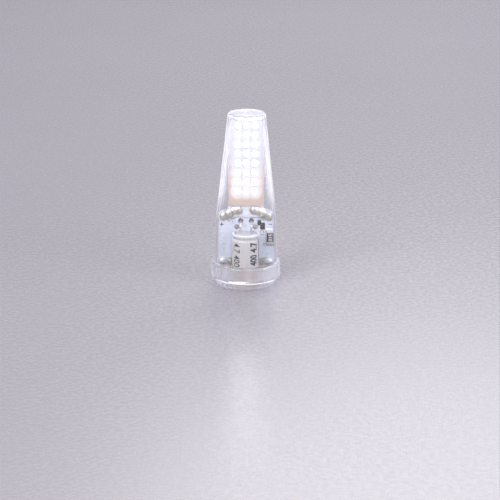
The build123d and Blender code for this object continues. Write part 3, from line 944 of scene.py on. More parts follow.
def evaluated(mesh, dress):
    """The plain mesh that an object's modifiers give."""
    holder = bpy.data.objects.new("holder", mesh)
    bpy.context.scene.collection.objects.link(holder)
    dress(holder)
    depsgraph = bpy.context.evaluated_depsgraph_get()
    made = bpy.data.meshes.new_from_object(holder.evaluated_get(depsgraph), depsgraph=depsgraph)
    holder.modifiers.clear()
    bpy.data.objects.remove(holder)
    if not made.polygons:
        raise RuntimeError("a piece came out with no faces")
    return made


def grown(name, values, source=None):
    """Runs one of the trees and returns its result as a plain mesh."""
    tree = tree_named(name)

    def dress(holder):
        modifier = holder.modifiers.new(tree.name, "NODES")
        modifier.node_group = tree
        for item in tree.interface.items_tree:
            if item.in_out == "INPUT" and item.name in values:
                modifier[item.identifier] = values[item.name]

    return evaluated(source or bpy.data.meshes.new("seed"), dress)


def chain(points, closed=False, rounds=None):
    """A mesh of edges through points, each with the round that its corner takes."""
    mesh = bpy.data.meshes.new("chain")
    count = len(points)
    edges = [(i, i + 1) for i in range(count - 1)]
    if closed:
        edges.append((count - 1, 0))
    mesh.from_pydata(points, edges, [])
    if rounds:
        mesh.attributes.new("round", "FLOAT", "POINT").data.foreach_set("value", rounds)
    return mesh


def turned(section, material, closed=False, steps=96):
    """A turned part from (radius, height, round) corners in millimetres."""
    points = [(radius * MM, 0.0, height * MM) for radius, height, _ in section]
    rounds = [corner * MM for _, _, corner in section]
    values = {"Closed ring": closed, "Steps around": steps, "Steps in a round": 5, "Material": material}
    return grown("turned", values, chain(points, closed, rounds))


def box_mesh(low, high):
    """A block between two corners, in millimetres."""
    made = bmesh.new()
    bmesh.ops.create_cube(made, size=1.0)
    size = Vector(high) - Vector(low)
    middle = (Vector(high) + Vector(low)) / 2
    for vert in made.verts:
        vert.co = Vector(a * b + c for a, b, c in zip(vert.co, size, middle)) * MM
    return to_mesh(made, "block")


def drill(x, y, z, radius, depth, segments):
    """An upright rod that makes a hole, its middle and sizes in metres."""
    made = bmesh.new()
    spot = Matrix.Translation((x, y, z))
    sizes = {"radius1": radius, "radius2": radius, "depth": depth, "segments": segments}
    bmesh.ops.create_cone(made, cap_ends=True, matrix=spot, **sizes)
    return to_mesh(made, "drill")


def prism(outline, low_y, high_y):
    """An upright plate from an outline in X and Z, in millimetres."""
    made = bmesh.new()
    near = [made.verts.new((x * MM, low_y * MM, z * MM)) for x, z in outline]
    far = [made.verts.new((x * MM, high_y * MM, z * MM)) for x, z in outline]
    made.faces.new(near)
    made.faces.new(list(reversed(far)))
    for i, vert in enumerate(near):
        after = (i + 1) % len(near)
        made.faces.new((near[after], vert, far[i], far[after]))
    return to_mesh(made, "plate")


def to_mesh(made, name):
    """A mesh from a bmesh, with its faces turned outwards."""
    bmesh.ops.recalc_face_normals(made, faces=made.faces)
    mesh = bpy.data.meshes.new(name)
    made.to_mesh(mesh)
    made.free()
    return mesh


def smoothed(mesh, sharp_deg=32):
    """Merges doubles, turns faces outwards and shades smooth up to an angle."""
    made = bmesh.new()
    made.from_mesh(mesh)
    bmesh.ops.remove_doubles(made, verts=made.verts, dist=MERGE)
    loose = [vert for vert in made.verts if not vert.link_faces]
    bmesh.ops.delete(made, geom=loose, context="VERTS")
    bmesh.ops.recalc_face_normals(made, faces=made.faces)
    made.to_mesh(mesh)
    made.free()
    mesh.shade_smooth()
    mesh.set_sharp_from_angle(angle=math.radians(sharp_deg))
    return mesh


def cut(mesh, tools, operation="DIFFERENCE"):
    """The mesh after a boolean with each tool mesh."""
    holders = []
    for tool in tools:
        holder = bpy.data.objects.new("tool", tool)
        bpy.context.scene.collection.objects.link(holder)
        holders.append(holder)

    def dress(holder):
        for tool in holders:
            modifier = holder.modifiers.new("cut", "BOOLEAN")
            modifier.operation = operation
            modifier.solver = "EXACT"
            modifier.object = tool

    made = evaluated(mesh, dress)
    for holder in holders:
        bpy.data.objects.remove(holder)
    return made


def merged_copy(node):
    """A copy of a CAD node's mesh with its loose triangles joined and its flats whole."""
    made = bmesh.new()
    made.from_mesh(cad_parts[node].data)
    bmesh.ops.remove_doubles(made, verts=made.verts, dist=MERGE)
    bmesh.ops.dissolve_limit(made, angle_limit=math.radians(FLAT_DEG), verts=made.verts, edges=made.edges)
    mesh = bpy.data.meshes.new(node + "_copy")
    made.to_mesh(mesh)
    made.free()
    return mesh


def softened(node, width, segments=2):
    """A CAD node's shape with its sharp edges rounded a little, width in millimetres."""

    def dress(holder):
        bevel = holder.modifiers.new("soft edges", "BEVEL")
        bevel.width = width * MM
        bevel.segments = segments
        bevel.limit_method = "ANGLE"
        bevel.angle_limit = math.radians(SHARP_DEG)
        bevel.use_clamp_overlap = True

    return evaluated(merged_copy(node), dress)


def settle(name, mesh, material, slot, *nodes):
    """Makes a finished mesh a piece of the lamp, in place of the CAD nodes named."""
    mesh.name = name
    mesh.materials.clear()
    mesh.materials.append(material)
    piece = bpy.data.objects.new(name, mesh)
    bpy.context.scene.collection.objects.link(piece)
    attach(piece, "root")
    if nodes:
        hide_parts(*nodes)
    return piece


def joined(meshes):
    """Several meshes as one."""
    made = bmesh.new()
    for mesh in meshes:
        made.from_mesh(mesh)
    out = bpy.data.meshes.new("joined")
    made.to_mesh(out)
    made.free()
    return out


def paint(node, material):
    """Gives a CAD node its finish."""
    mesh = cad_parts[node].data
    mesh.materials.clear()
    mesh.materials.append(material)


def lettering(text, size, bold=0.0, tall=1.0, thickness=INK):
    """Extruded lettering in X and Y, centred, sizes in millimetres."""
    data = bpy.data.curves.new("lettering", "FONT")
    data.body = text
    data.size = size * MM
    data.extrude = thickness * MM / 2
    data.offset = bold * MM
    data.align_x = "CENTER"
    data.align_y = "CENTER"
    data.resolution_u = 3
    holder = bpy.data.objects.new("lettering", data)
    bpy.context.scene.collection.objects.link(holder)
    depsgraph = bpy.context.evaluated_depsgraph_get()
    mesh = bpy.data.meshes.new_from_object(holder.evaluated_get(depsgraph), depsgraph=depsgraph)
    bpy.data.objects.remove(holder)
    mesh.transform(Matrix.Diagonal((1.0, tall, 1.0, 1.0)))
    return mesh


def marks(material, columns, rows, pitch, size, corner, thickness=INK):
    """A block of repeated marks in X and Y, sizes in millimetres."""
    values = {
        "Columns": columns,
        "Rows": rows,
        "Column pitch": pitch[0] * MM,
        "Row pitch": pitch[1] * MM,
        "Width": size[0] * MM,
        "Height": size[1] * MM,
        "Corner": corner * MM,
        "Thickness": thickness * MM,
        "Material": material,
    }
    return grown("marks", values)


def on_face(mesh, x, z, y, side, turned_deg=0):
    """Lays a flat mesh on an upright face that looks forwards or backwards, in millimetres."""
    spin = Matrix.Rotation(math.radians(turned_deg), 4, "Z")
    upright = Matrix.Rotation(math.radians(90), 4, "X")
    if side == REAR:
        upright = Matrix.Rotation(math.pi, 4, "Z") @ upright
    mesh.transform(Matrix.Translation(Vector((x, y, z)) * MM) @ upright @ spin)
    return mesh


def wrapped(mesh, bearing_deg, z, radius, axis_y, turned_deg=0):
    """Bends a flat mesh round an upright cylinder, at a bearing from its front, in millimetres."""
    mesh.transform(Matrix.Rotation(math.radians(turned_deg), 4, "Z"))
    made = bmesh.new()
    made.from_mesh(mesh)
    long_edges = [edge for edge in made.edges if edge.calc_length() > 0.35 * MM]
    bmesh.ops.subdivide_edges(made, edges=long_edges, cuts=3, use_grid_fill=True)
    for vert in made.verts:
        bearing = math.radians(bearing_deg) + vert.co.x / (radius * MM)
        reach = (radius - WRAP_SINK) * MM + vert.co.z
        height = z * MM + vert.co.y
        vert.co = Vector((reach * math.sin(bearing), axis_y * MM - reach * math.cos(bearing), height))
    made.to_mesh(mesh)
    made.free()
    return mesh


class PieceOperator(bpy.types.Operator):
    """Shared settings of the operators that make pieces."""

    bl_options = {"REGISTER", "UNDO"}


class LAMP_OT_studio(PieceOperator):
    """Make the floor, the backdrop, the soft lamps and the camera"""

    bl_idname = "lamp.studio"
    bl_label = "Studio"

    def execute(self, context):
        look = context.scene.lamp_studio
        scene = context.scene
        scene.view_settings.view_transform = "Standard"
        self.sweep(scene, look)
        self.light(scene, look)
        self.aim(scene, look)
        return {"FINISHED"}

    def sweep(self, scene, look):
        """Floor and backdrop as one sheet with a wide bend."""
        near, back, bend, top, half = -1.6, 1.1, 0.35, 2.2, 2.4
        steps = 12
        profile = [(near, 0.0), (back, 0.0)]
        for step in range(1, steps + 1):
            lift = math.pi / 2 * step / steps
            profile.append((back + bend * math.sin(lift), bend * (1 - math.cos(lift))))
        profile.append((back + bend, top))
        drop = -0.02 * MM
        made = bmesh.new()
        sides = [[made.verts.new((x, y, z + drop)) for y, z in profile] for x in (-half, half)]
        for i in range(len(profile) - 1):
            made.faces.new((sides[0][i], sides[1][i], sides[1][i + 1], sides[0][i + 1]))
        mesh = bpy.data.meshes.new("sweep")
        made.to_mesh(mesh)
        made.free()
        mesh.shade_smooth()
        mesh.materials.append(floor_finish("table_top", look.floor))
        floor = bpy.data.objects.new("sweep", mesh)
        scene.collection.objects.link(floor)

    def light(self, scene, look):
        """Three soft lamps and an even sky."""
        world = bpy.data.worlds.new("studio")
        world.use_nodes = True
        sky = world.node_tree.nodes["Background"]
        sky.inputs["Color"].default_value = (0.93, 0.94, 1.0, 1.0)
        sky.inputs["Strength"].default_value = look.sky
        scene.world = world
        target = Vector((0, 0, 0.02))
        lamps = (
            ("key", (-0.32, -0.42, 0.42), 0.34, look.key, (1.0, 0.98, 0.96)),
            ("fill", (0.42, -0.3, 0.25), 0.4, look.fill, (0.93, 0.95, 1.0)),
            ("rim", (0.1, 0.42, 0.4), 0.4, look.rim, (0.97, 0.97, 1.0)),
        )
        for name, spot, size, power, tone in lamps:
            data = bpy.data.lights.new(name, "AREA")
            data.shape = "DISK"
            data.size = size
            data.energy = power
            data.color = tone
            lamp = bpy.data.objects.new(name, data)
            lamp.location = spot
            lamp.rotation_euler = (target - Vector(spot)).to_track_quat("-Z", "Y").to_euler()
            scene.collection.objects.link(lamp)

    def aim(self, scene, look):
        """The camera, at the photograph's angle."""
        data = bpy.data.cameras.new("camera")
        data.lens = look.focal
        data.sensor_width = 36.0
        data.clip_start = 0.02
        camera = bpy.data.objects.new("camera", data)
        camera.location = (look.side, -look.distance, look.height)
        tilt = Matrix.Rotation(math.pi / 2 - look.pitch, 4, "X")
        camera.rotation_euler = (tilt @ Matrix.Rotation(look.roll, 4, "Z")).to_euler()
        scene.collection.objects.link(camera)
        scene.camera = camera


class LAMP_OT_cover(PieceOperator):
    """Make the clear cover from its drafts, bend and wall"""

    bl_idname = "lamp.cover"
    bl_label = "Clear cover"

    def execute(self, context):
        sizes = context.scene.lamp_cover
        # The cover's plastic takes a painted glow in its lit stretch, from COVER_LIT_FROM up to COVER_LIT_DROP
        # under the top
        material = clear_plastic(
            "cover_plastic",
            sizes,
            roughness=0.004,
            lit_low=COVER_LIT_FROM,
            lit_high=sizes.top_height - COVER_LIT_DROP,
            lit_soft=COVER_LIT_SOFT,
        )
        named = {sizes.bl_rna.properties[key].name: getattr(sizes, key) for key in CoverSizes.__annotations__}
        values = {label: named[label] for label in COVER_INPUTS}
        values.update({"Steps around": 128, "Steps in a round": 8, "Material": material})
        mesh = smoothed(grown("cover", values), 40)
        settle("clear_cover", mesh, material, "cover_clear", "cover")
        return {"FINISHED"}


class LAMP_OT_base(PieceOperator):
    """Make the clear base cup with its slot and wire holes"""

    bl_idname = "lamp.base"
    bl_label = "Base cup"

    def execute(self, context):
        sizes = context.scene.lamp_base
        wires = context.scene.lamp_wires
        boss, rise = sizes.boss_radius / MM, sizes.boss_height / MM
        collar, bore, top = sizes.collar_radius / MM, sizes.bore_radius / MM, sizes.collar_top / MM
        floor, half = cover_low.z / MM, sizes.bar_half / MM
        ledge, slot_half, middle, sunk = 4.3, 2.8, 3.4, 0.3
        front, rear = sizes.bar_front / MM, sizes.bar_rear / MM
        bar_box = (
            Vector((-half - 0.05, front - 0.05, floor + 0.05)) * MM,
            Vector((half + 0.05, rear + 0.05, ledge + 0.15)) * MM,
        )
        # Painted highlight: a thin stretch over the collar's underside, outside the bore and less towards the
        # sides, takes a painted glow and more milk
        material = clear_plastic(
            "base_plastic",
            sizes,
            roughness=0.05,
            lit_low=(rise + 0.12) * MM,
            lit_high=(rise + 0.32) * MM,
            lit_soft=0.1 * MM,
            collar_radius=sizes.bore_radius,
            bar=bar_box,
        )
        section = [
            (0, 0, 0),
            (boss, 0, 0.35),
            (boss, rise, 0.2),
            (collar, rise, 0.3),
            (collar, top, 0.45),
            (bore, top, 0.12),
            (bore, floor, 0.0),
            (0, floor, 0),
        ]
        shell = smoothed(turned(section, material, steps=128))
        foot = floor - sunk
        outline = [(-half, foot), (half, foot), (half, ledge), (slot_half, ledge), (slot_half, middle)]
        outline += [(-slot_half, middle), (-slot_half, ledge), (-half, ledge)]
        cup = cut(shell, [prism(outline, front, rear)], "UNION")
        slot = box_mesh((-slot_half, -0.05, floor - 1.05), (slot_half, 1.05, ledge + 1))
        bend = (wires.loop_width - wires.loop_diameter) / 2
        reach = wires.loop_diameter / 2 + HOLE_GAP
        legs = [side * wires.loop_spacing / 2 + leg * bend for side in (-1, 1) for leg in (-1, 1)]
        cup = cut(cup, [slot] + [drill(x, 0, 0.002, reach, 0.02, 32) for x in legs])
        settle("base_cup_moulding", smoothed(cup, 30), material, "base_clear", "base_cup")
        return {"FINISHED"}


class LAMP_OT_wires(PieceOperator):
    """Make the contact loops and the capacitor's leads"""

    bl_idname = "lamp.wires"
    bl_label = "Bent wires"

    def execute(self, context):
        sizes = context.scene.lamp_wires
        nickel = metal("nickel_wire", (0.78, 0.77, 0.74), 0.14, 0.34, (1, 1, 0.05), 4.0)
        tin = metal("tinned_wire", (0.84, 0.84, 0.85), 0.12, 0.3, (1, 0.3, 0.05), 5.0)
        bend = (sizes.loop_width - sizes.loop_diameter) / 2
        bottom = sizes.loop_diameter / 2 - sizes.loop_depth
        for side, node in ((-1, "contact_pin_left"), (1, "contact_pin_right")):
            near = side * (sizes.loop_spacing / 2 - bend)
            far = side * (sizes.loop_spacing / 2 + bend)
            route = [(near, 0, sizes.loop_top), (near, 0, bottom), (far, 0, bottom), (far, 0, sizes.loop_top)]
            name = node.replace("pin", "loop")
            self.bend_wire(name, route, sizes.loop_diameter, bend * 0.999, nickel, "contact_wire", node)
        can = context.scene.lamp_capacitor
        axis = (sleeve_low.y + sleeve_high.y) / 2
        start = sleeve_high.z - can.sleeve - LEAD_IN_BUNG
        behind = driver_high.y + LEAD_PAST_BOARD
        for side, node in ((-1, "capacitor_lead_positive"), (1, "capacitor_lead_negative")):
            x = side * sizes.lead_spacing / 2
            route = [(x, axis, start), (x, axis, sizes.lead_height), (x, behind, sizes.lead_height)]
            name = node.replace("lead", "wire")
            self.bend_wire(name, route, sizes.lead_diameter, sizes.lead_bend, tin, "lead_wire", node)
        return {"FINISHED"}

    def bend_wire(self, name, route, diameter, bend, material, slot, node):
        """One wire along a route."""
        values = {"Diameter": diameter, "Bend radius": bend, "Material": material}
        mesh = grown("wire", values, chain(route))
        settle(name, smoothed(mesh, 40), material, slot, node)


class LAMP_OT_boards(PieceOperator):
    """Finish the driver board and the LED board"""

    bl_idname = "lamp.boards"
    bl_label = "Boards"

    def execute(self, context):
        look = context.scene.lamp_boards
        boards = (
            ("driver", look.mask, driver_low, driver_high, FRONT_POURS, REAR_POURS),
            ("led", look.led_mask, led_low, led_high, LED_POURS, LED_POURS),
        )
        for kind, mask, low, high, front, rear in boards:
            material = board_finish(kind + "_mask", mask, look.fibre, low, high, front, rear)
            mesh = smoothed(softened(kind + "_board", 0.05))
            settle(kind + "_board_plate", mesh, material, kind + "_mask", kind + "_board")
        return {"FINISHED"}


class LAMP_OT_panel(PieceOperator):
    """Finish the lit coats and the chips under them"""

    bl_idname = "lamp.panel"
    bl_label = "Lit panel"

    def execute(self, context):
        look = context.scene.lamp_panel
        coat = lit_coat("lit_coat", look)
        die = moulded("chip_die", (0.55, 0.62, 0.78), (0.8, 0.76, 0.5), 0.1, 0.25, 6.0)
        for side in ("front", "rear"):
            mesh = smoothed(softened("phosphor_" + side, 0.1, 3))
            settle("lit_coat_" + side, mesh, coat, "phosphor", "phosphor_" + side)
            paint("led_chips_" + side, die)
        return {"FINISHED"}


class LAMP_OT_capacitor(PieceOperator):
    """Make the electrolytic capacitor with its print"""

    bl_idname = "lamp.capacitor"
    bl_label = "Capacitor"

    def execute(self, context):
        sizes = context.scene.lamp_capacitor
        wires = context.scene.lamp_wires
        axis = (sleeve_low.y + sleeve_high.y) / 2
        film = sleeve_film("sleeve_film", sizes.film, sleeve_low.z, sleeve_high.z)
        drawn = metal("drawn_can", (0.8, 0.8, 0.82), 0.2, 0.36, (1, 1, 0.1), 3.0)
        rubber = moulded("bung_rubber", (0.60, 0.61, 0.66), (0.50, 0.51, 0.55), 0.45, 0.7)
        radius, wall = sizes.radius / MM, sizes.sleeve / MM
        low, high = sleeve_low.z / MM, sleeve_high.z / MM
        groove, half, depth = high - sizes.groove_drop / MM, sizes.groove_half / MM, sizes.groove_depth / MM

        def side(reach, foot, top):
            """The side's corners from foot to top, with the groove as one round valley."""
            return [
                (reach, foot, 0.3),
                (reach, groove - half, 0.25),
                (reach - depth * 1.35, groove, 0.5),
                (reach, groove + half, 0.25),
                (reach, top, 0.3),
            ]

        lip = radius - sizes.lip / MM
        outer = side(radius, low, high)
        inner = side(radius - wall, low + wall, high - wall)
        ring = [(lip, low, 0.05)] + outer + [(lip, high, 0.05), (lip, high - wall, 0)]
        ring += list(reversed(inner)) + [(lip, low + wall, 0)]
        mouth, floor = sizes.mouth_radius / MM, high - wall - sizes.bung_depth / MM
        can = [(0, low + wall, 0)] + inner + [(mouth, high - wall, 0.08), (mouth, floor, 0), (0, floor, 0)]
        top = high - wall - 0.12
        bung = [(0, floor, 0), (mouth, floor, 0), (mouth, top, 0.15), (0, top, 0)]
        reach = wires.lead_diameter / 2 + LEAD_GAP
        spread = wires.lead_spacing / 2
        drills = [drill(x, 0, top * MM, reach, 2 * LEAD_IN_BUNG, 24) for x in (-spread, spread)]
        plug = smoothed(cut(smoothed(turned(bung, rubber, steps=64)), drills), 30)
        skin = smoothed(turned(ring, film, closed=True), 40)
        shell = smoothed(turned(can, drawn), 40)
        shapes = (
            ("capacitor_film", skin, film, "sleeve", "capacitor_sleeve"),
            ("capacitor_shell", shell, drawn, "can", "capacitor_can"),
            ("capacitor_plug", plug, rubber, "rubber_bung", "capacitor_bung"),
        )
        for name, mesh, material, slot, node in shapes:
            mesh.transform(Matrix.Translation((0, axis, 0)))
            settle(name, mesh, material, slot, node)
        self.print_sleeve(sizes, radius, axis / MM)
        return {"FINISHED"}

    def print_sleeve(self, sizes, radius, axis):
        """Plain digits up both sides and a stripe with bars."""
        ink = ink_finish("sleeve_ink", sizes.ink)
        digits = (
            ("400", 1.9, 0.02, 1.35, -44, 6.9, -90),
            ("4.7", 1.9, 0.02, 1.35, -44, 10.1, -90),
            ("4.7", 2.0, 0.06, 1.25, 38, 10.3, 90),
            ("400", 1.75, 0.06, 1.4, 38, 7.2, 90),
        )
        parts = [
            wrapped(lettering(value, size, bold, tall, SLEEVE_INK), bearing, z, radius, axis, turn_deg)
            for value, size, bold, tall, bearing, z, turn_deg in digits
        ]
        line = marks(ink, 1, 1, (1, 1), (0.26, 6.3), 0.1, SLEEVE_INK)
        bars = marks(ink, 1, 5, (1, 1.2), (0.7, 0.2), 0.08, SLEEVE_INK)
        parts += [wrapped(line, 68, 8.8, radius, axis), wrapped(bars, 150, 8.8, radius, axis)]
        settle("sleeve_print", joined(parts), ink, "sleeve")


class LAMP_OT_solder(PieceOperator):
    """Make the solder joints as smooth drops"""

    bl_idname = "lamp.solder"
    bl_label = "Solder"

    def execute(self, context):
        wires = context.scene.lamp_wires
        # The solder finish paints shade on the lower sides of the drops
        solder = solder_finish("bright_solder")
        rear = driver_high.y / MM
        joints = []
        for hand in (-1, 1):
            for side, led_face, driver_face in ((FRONT, -0.5, 0.0), (REAR, 0.5, rear)):
                joints += [
                    (hand * 1.8, led_face - side * 0.3, 17.85, 1.05, 1.15, 1.15),
                    (hand * 2.85, led_face - side * 0.3, 17.75, 1.1, 1.15, 1.2),
                    (hand * 4.0, led_face - side * 0.2, 17.0, 1.1, 1.0, 1.2),
                    (hand * 4.75, driver_face - side * 0.45, 16.6, 1.0, 1.4, 1.3),
                    (hand * 5.45, driver_face - side * 0.45, 16.25, 0.95, 1.35, 1.3),
                ]
        tools = [merged_copy("led_board"), merged_copy("driver_board")]
        self.drops("board_joint_drops", joints, tools, solder, "board_joint_solder")
        bend = (wires.loop_width - wires.loop_diameter) / 2 / MM
        inner, outer = wires.loop_spacing / 2 / MM - bend, wires.loop_spacing / 2 / MM + bend - 0.15
        pins = []
        for hand in (-1, 1):
            for side, face in ((FRONT, 0.0), (REAR, rear)):
                pins += [
                    (hand * (inner + 0.1), face - side * 0.1, 5.4, 0.9, 0.85, 0.9),
                    (hand * (inner + outer) / 2, face - side * 0.15, 5.5, 1.1, 0.85, 0.8),
                    (hand * outer, face - side * 0.2, 5.55, 1.2, 1.0, 0.95),
                ]
        tools = [merged_copy(node) for node in ("driver_board", "contact_pin_left", "contact_pin_right")]
        self.drops("pin_drops", pins, tools, solder, "pin_solder")
        section = [
            (0, -0.5, 0),
            (0.54, -0.5, 0),
            (0.54, 0, 0.05),
            (0.78, 0, 0.0),
            (0.5, 0.18, 0.3),
            (0.31, 0.45, 0.05),
            (0, 0.45, 0),
        ]
        lay = Matrix.Rotation(-math.pi / 2, 4, "X")
        cones = []
        for hand in (-1, 1):
            cone = smoothed(turned(section, solder, steps=40), 40)
            spot = Vector((hand * wires.lead_spacing / 2, driver_high.y, wires.lead_height))
            cone.transform(Matrix.Translation(spot) @ lay)
            cones.append(cone)
        settle("capacitor_drops", joined(cones), solder, "solder", "capacitor_solder")
        for node in ("resistor", "input_capacitor", "sense_resistor", "rectifier", "driver_chip"):
            mesh = smoothed(softened(node + "_solder", 0.04))
            settle(node + "_fillets", mesh, solder, "solder", node + "_solder")
        return {"FINISHED"}

    def drops(self, name, eggs, tools, material, node):
        """Egg shapes melted into drops that stop at the boards."""
        made = bmesh.new()
        for x, y, z, across, deep, tall in eggs:
            stretch = Matrix.Diagonal((across * MM, deep * MM, tall * MM, 1.0))
            spot = Matrix.Translation(Vector((x, y, z)) * MM)
            bmesh.ops.create_icosphere(made, subdivisions=4, radius=1.0, matrix=spot @ stretch)
        mesh = bpy.data.meshes.new(name)
        made.to_mesh(mesh)
        made.free()

        def melt(holder):
            remesh = holder.modifiers.new("melt", "REMESH")
            remesh.mode = "VOXEL"
            remesh.voxel_size = 0.1 * MM
            relax = holder.modifiers.new("relax", "SMOOTH")
            relax.factor = 0.6
            relax.iterations = 10

        mesh = evaluated(mesh, melt)
        ripple, depth = 0.9 / MM, 0.06 * MM
        for vert, normal in zip(mesh.vertices, [v.vector.copy() for v in mesh.vertex_normals]):
            vert.co += normal * noise.noise(vert.co * ripple) * depth
        settle(name, smoothed(cut(mesh, tools), 35), material, "solder", node)


class LAMP_OT_small_parts(PieceOperator):
    """Finish the chip parts and the leaded packages"""

    bl_idname = "lamp.small_parts"
    bl_label = "Small parts"

    def execute(self, context):
        black = moulded("resistor_glaze", (0.01, 0.01, 0.012), (0.022, 0.022, 0.025), 0.4, 0.6, 5.0, 0.004)
        brown = moulded("capacitor_ceramic", (0.42, 0.29, 0.19), (0.5, 0.38, 0.27), 0.35, 0.55)
        epoxy = moulded("package_epoxy", (0.022, 0.022, 0.024), (0.05, 0.05, 0.05), 0.5, 0.75, 8.0, 0.02)
        bands = metal("tinned_band", (0.82, 0.82, 0.82), 0.25, 0.45, wear=0.35)
        # The resistor's ends take the solder finish, with painted shade on the lower band
        soldered = solder_finish("soldered_band")
        legs = metal("tinned_leg", (0.8, 0.8, 0.8), 0.2, 0.4)
        bodies = (
            ("resistor", black, "resistor_coat", soldered),
            ("sense_resistor", black, "resistor_coat", bands),
            ("input_capacitor", brown, "ceramic_brown", bands),
        )
        for node, material, slot, ends in bodies:
            block = smoothed(softened(node + "_body", 0.04))
            settle(node + "_block", block, material, slot, node + "_body")
            caps = smoothed(softened(node + "_terminals", 0.04))
            settle(node + "_bands", caps, ends, "terminal", node + "_terminals")
        for node in ("rectifier", "driver_chip"):
            package = smoothed(softened(node + "_body", 0.08))
            settle(node + "_package", package, epoxy, "epoxy_black", node + "_body")
            leads = smoothed(softened(node + "_leads", 0.03))
            settle(node + "_legs", leads, legs, "package_lead", node + "_leads")
        self.mark_parts()
        return {"FINISHED"}

    def mark_parts(self):
        """Values on the resistors and pin dots on the packages."""
        white = ink_finish("white_ink", (0.78, 0.78, 0.76))
        low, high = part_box("resistor_body")
        sense_low, sense_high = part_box("sense_resistor_body")
        middle = (low + high) / (2 * MM)
        sense_middle = (sense_low + sense_high) / (2 * MM)
        value, sense_value = lettering("510", 1.2, 0.03), lettering("2R2", 0.7)
        parts = [
            on_face(value, middle.x, middle.z, low.y / MM, FRONT, -90),
            on_face(sense_value, sense_middle.x, sense_middle.z, sense_high.y / MM, REAR),
        ]
        for node in ("rectifier_body", "driver_chip_body"):
            low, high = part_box(node)
            dot = marks(white, 1, 1, (1, 1), (0.5, 0.5), 0.25)
            parts.append(on_face(dot, high.x / MM - 0.75, low.z / MM + 0.8, high.y / MM, REAR))
        settle("part_values", joined(parts), white, "resistor_coat")


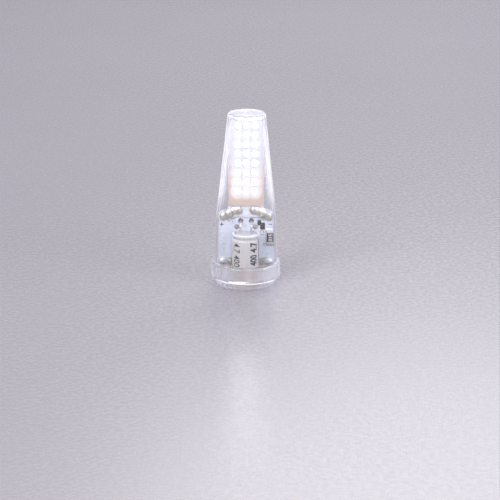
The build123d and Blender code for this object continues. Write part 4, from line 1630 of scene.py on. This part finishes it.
class LAMP_OT_board_print(PieceOperator):
    """Make the printed signs, blocks, pads and vias on the driver board"""

    bl_idname = "lamp.board_print"
    bl_label = "Board print"

    def execute(self, context):
        look = context.scene.lamp_boards
        ink = ink_finish("board_ink", look.ink)
        grey = ink_finish("fine_ink", (0.16, 0.13, 0.11))
        tin = metal("tinned_pad", (0.84, 0.84, 0.83), 0.22, 0.4)
        front, rear = driver_low.y / MM, driver_high.y / MM
        signs = (((0.9, 0.2), -5.75, 14.2), ((0.2, 1.0), -5.75, 14.2), ((0.85, 0.18), 5.8, 14.3))
        bold = [
            on_face(marks(ink, 1, 1, (1, 1), size, 0.05), x, z, face, side)
            for face, side in ((front, FRONT), (rear, REAR))
            for size, x, z in signs
        ]
        for size, x, z in (((0.9, 1.35), 3.14, 14.65), ((1.15, 1.7), 3.92, 13.85)):
            bold.append(on_face(marks(ink, 1, 1, (1, 1), size, 0.2), x, z, front, FRONT))
        bold.append(on_face(marks(ink, 2, 1, (0.71, 1), (0.24, 0.24), 0.12), -3.6, 14.95, front, FRONT))
        settle("board_marks", joined(bold), ink, "driver_mask")
        fine = [
            on_face(lettering("C1", 1.25), 3.75, 12.2, front, FRONT, -90),
            on_face(lettering("R1", 0.8), 4.25, 9.3, front, FRONT, -90),
            on_face(lettering("C2", 0.8), 0.0, 7.4, rear, REAR),
            on_face(lettering("R2", 0.8), -1.9, 13.75, rear, REAR),
        ]
        settle("board_letters", joined(fine), grey, "driver_mask")
        pads = []
        packages = (("rectifier_leads", 2, 2.5, 0.95), ("driver_chip_leads", 4, 1.27, 0.65))
        for node, columns, pitch, width in packages:
            low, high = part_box(node)
            middle = (low + high) / (2 * MM)
            span = (high.z - low.z) / MM
            block = marks(tin, columns, 2, (pitch, span - 0.35), (width, 1.15), 0.1, 0.03)
            pads.append(on_face(block, middle.x, middle.z, rear, REAR))
        chips = (
            ("resistor_terminals", FRONT, front),
            ("input_capacitor_terminals", REAR, rear),
            ("sense_resistor_terminals", REAR, rear),
        )
        for node, side, face in chips:
            low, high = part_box(node)
            middle = (low + high) / (2 * MM)
            wide, tall = (high.x - low.x) / MM, (high.z - low.z) / MM
            if tall > wide:
                block = marks(tin, 1, 2, (1, tall - 0.1), (wide + 0.2, 1.2), 0.12, 0.03)
            else:
                block = marks(tin, 2, 1, (wide - 0.1, 1), (1.2, tall + 0.2), 0.12, 0.03)
            pads.append(on_face(block, middle.x, middle.z, face, side))
        for face, side in ((front, FRONT), (rear, REAR)):
            pads.append(on_face(marks(tin, 1, 3, (1, 1.5), (0.42, 0.42), 0.21), -5.2, 9.6, face, side))
            pads.append(on_face(marks(tin, 2, 1, (1.1, 1), (0.42, 0.42), 0.21), 4.6, 7.3, face, side))
        settle("board_pads", joined(pads), tin, "terminal")
        return {"FINISHED"}


class LAMP_PT_sidebar(bpy.types.Panel):
    """Buttons and sizes of the lamp"""

    bl_label = "Clear capsule lamp"
    bl_idname = "LAMP_PT_sidebar"
    bl_space_type = "VIEW_3D"
    bl_region_type = "UI"
    bl_category = "Lamp"

    def draw(self, context):
        for operator in OPERATORS:
            self.layout.operator(operator.bl_idname)
        for name, kind in GROUPS.items():
            box = self.layout.box()
            settings = getattr(context.scene, name)
            for key in kind.__annotations__:
                box.prop(settings, key)


GROUPS = {
    "lamp_cover": CoverSizes,
    "lamp_base": BaseSizes,
    "lamp_wires": WireSizes,
    "lamp_panel": PanelLook,
    "lamp_capacitor": CapacitorSizes,
    "lamp_boards": BoardLook,
    "lamp_studio": StudioLook,
}
OPERATORS = (
    LAMP_OT_studio,
    LAMP_OT_cover,
    LAMP_OT_base,
    LAMP_OT_wires,
    LAMP_OT_boards,
    LAMP_OT_panel,
    LAMP_OT_capacitor,
    LAMP_OT_solder,
    LAMP_OT_small_parts,
    LAMP_OT_board_print,
)


def register():
    """Registers the classes and gives the scene its settings."""
    for kind in (*GROUPS.values(), *OPERATORS, LAMP_PT_sidebar):
        bpy.utils.register_class(kind)
    for name, kind in GROUPS.items():
        setattr(bpy.types.Scene, name, bpy.props.PointerProperty(type=kind))


def unregister():
    """Removes the settings and the classes."""
    for name in GROUPS:
        delattr(bpy.types.Scene, name)
    for kind in (LAMP_PT_sidebar, *OPERATORS, *GROUPS.values()):
        bpy.utils.unregister_class(kind)


def main():
    """Builds every piece in order."""
    register()
    for operator in OPERATORS:
        group, name = operator.bl_idname.split(".")
        getattr(getattr(bpy.ops, group), name)()


if __name__ == "__main__":
    main()
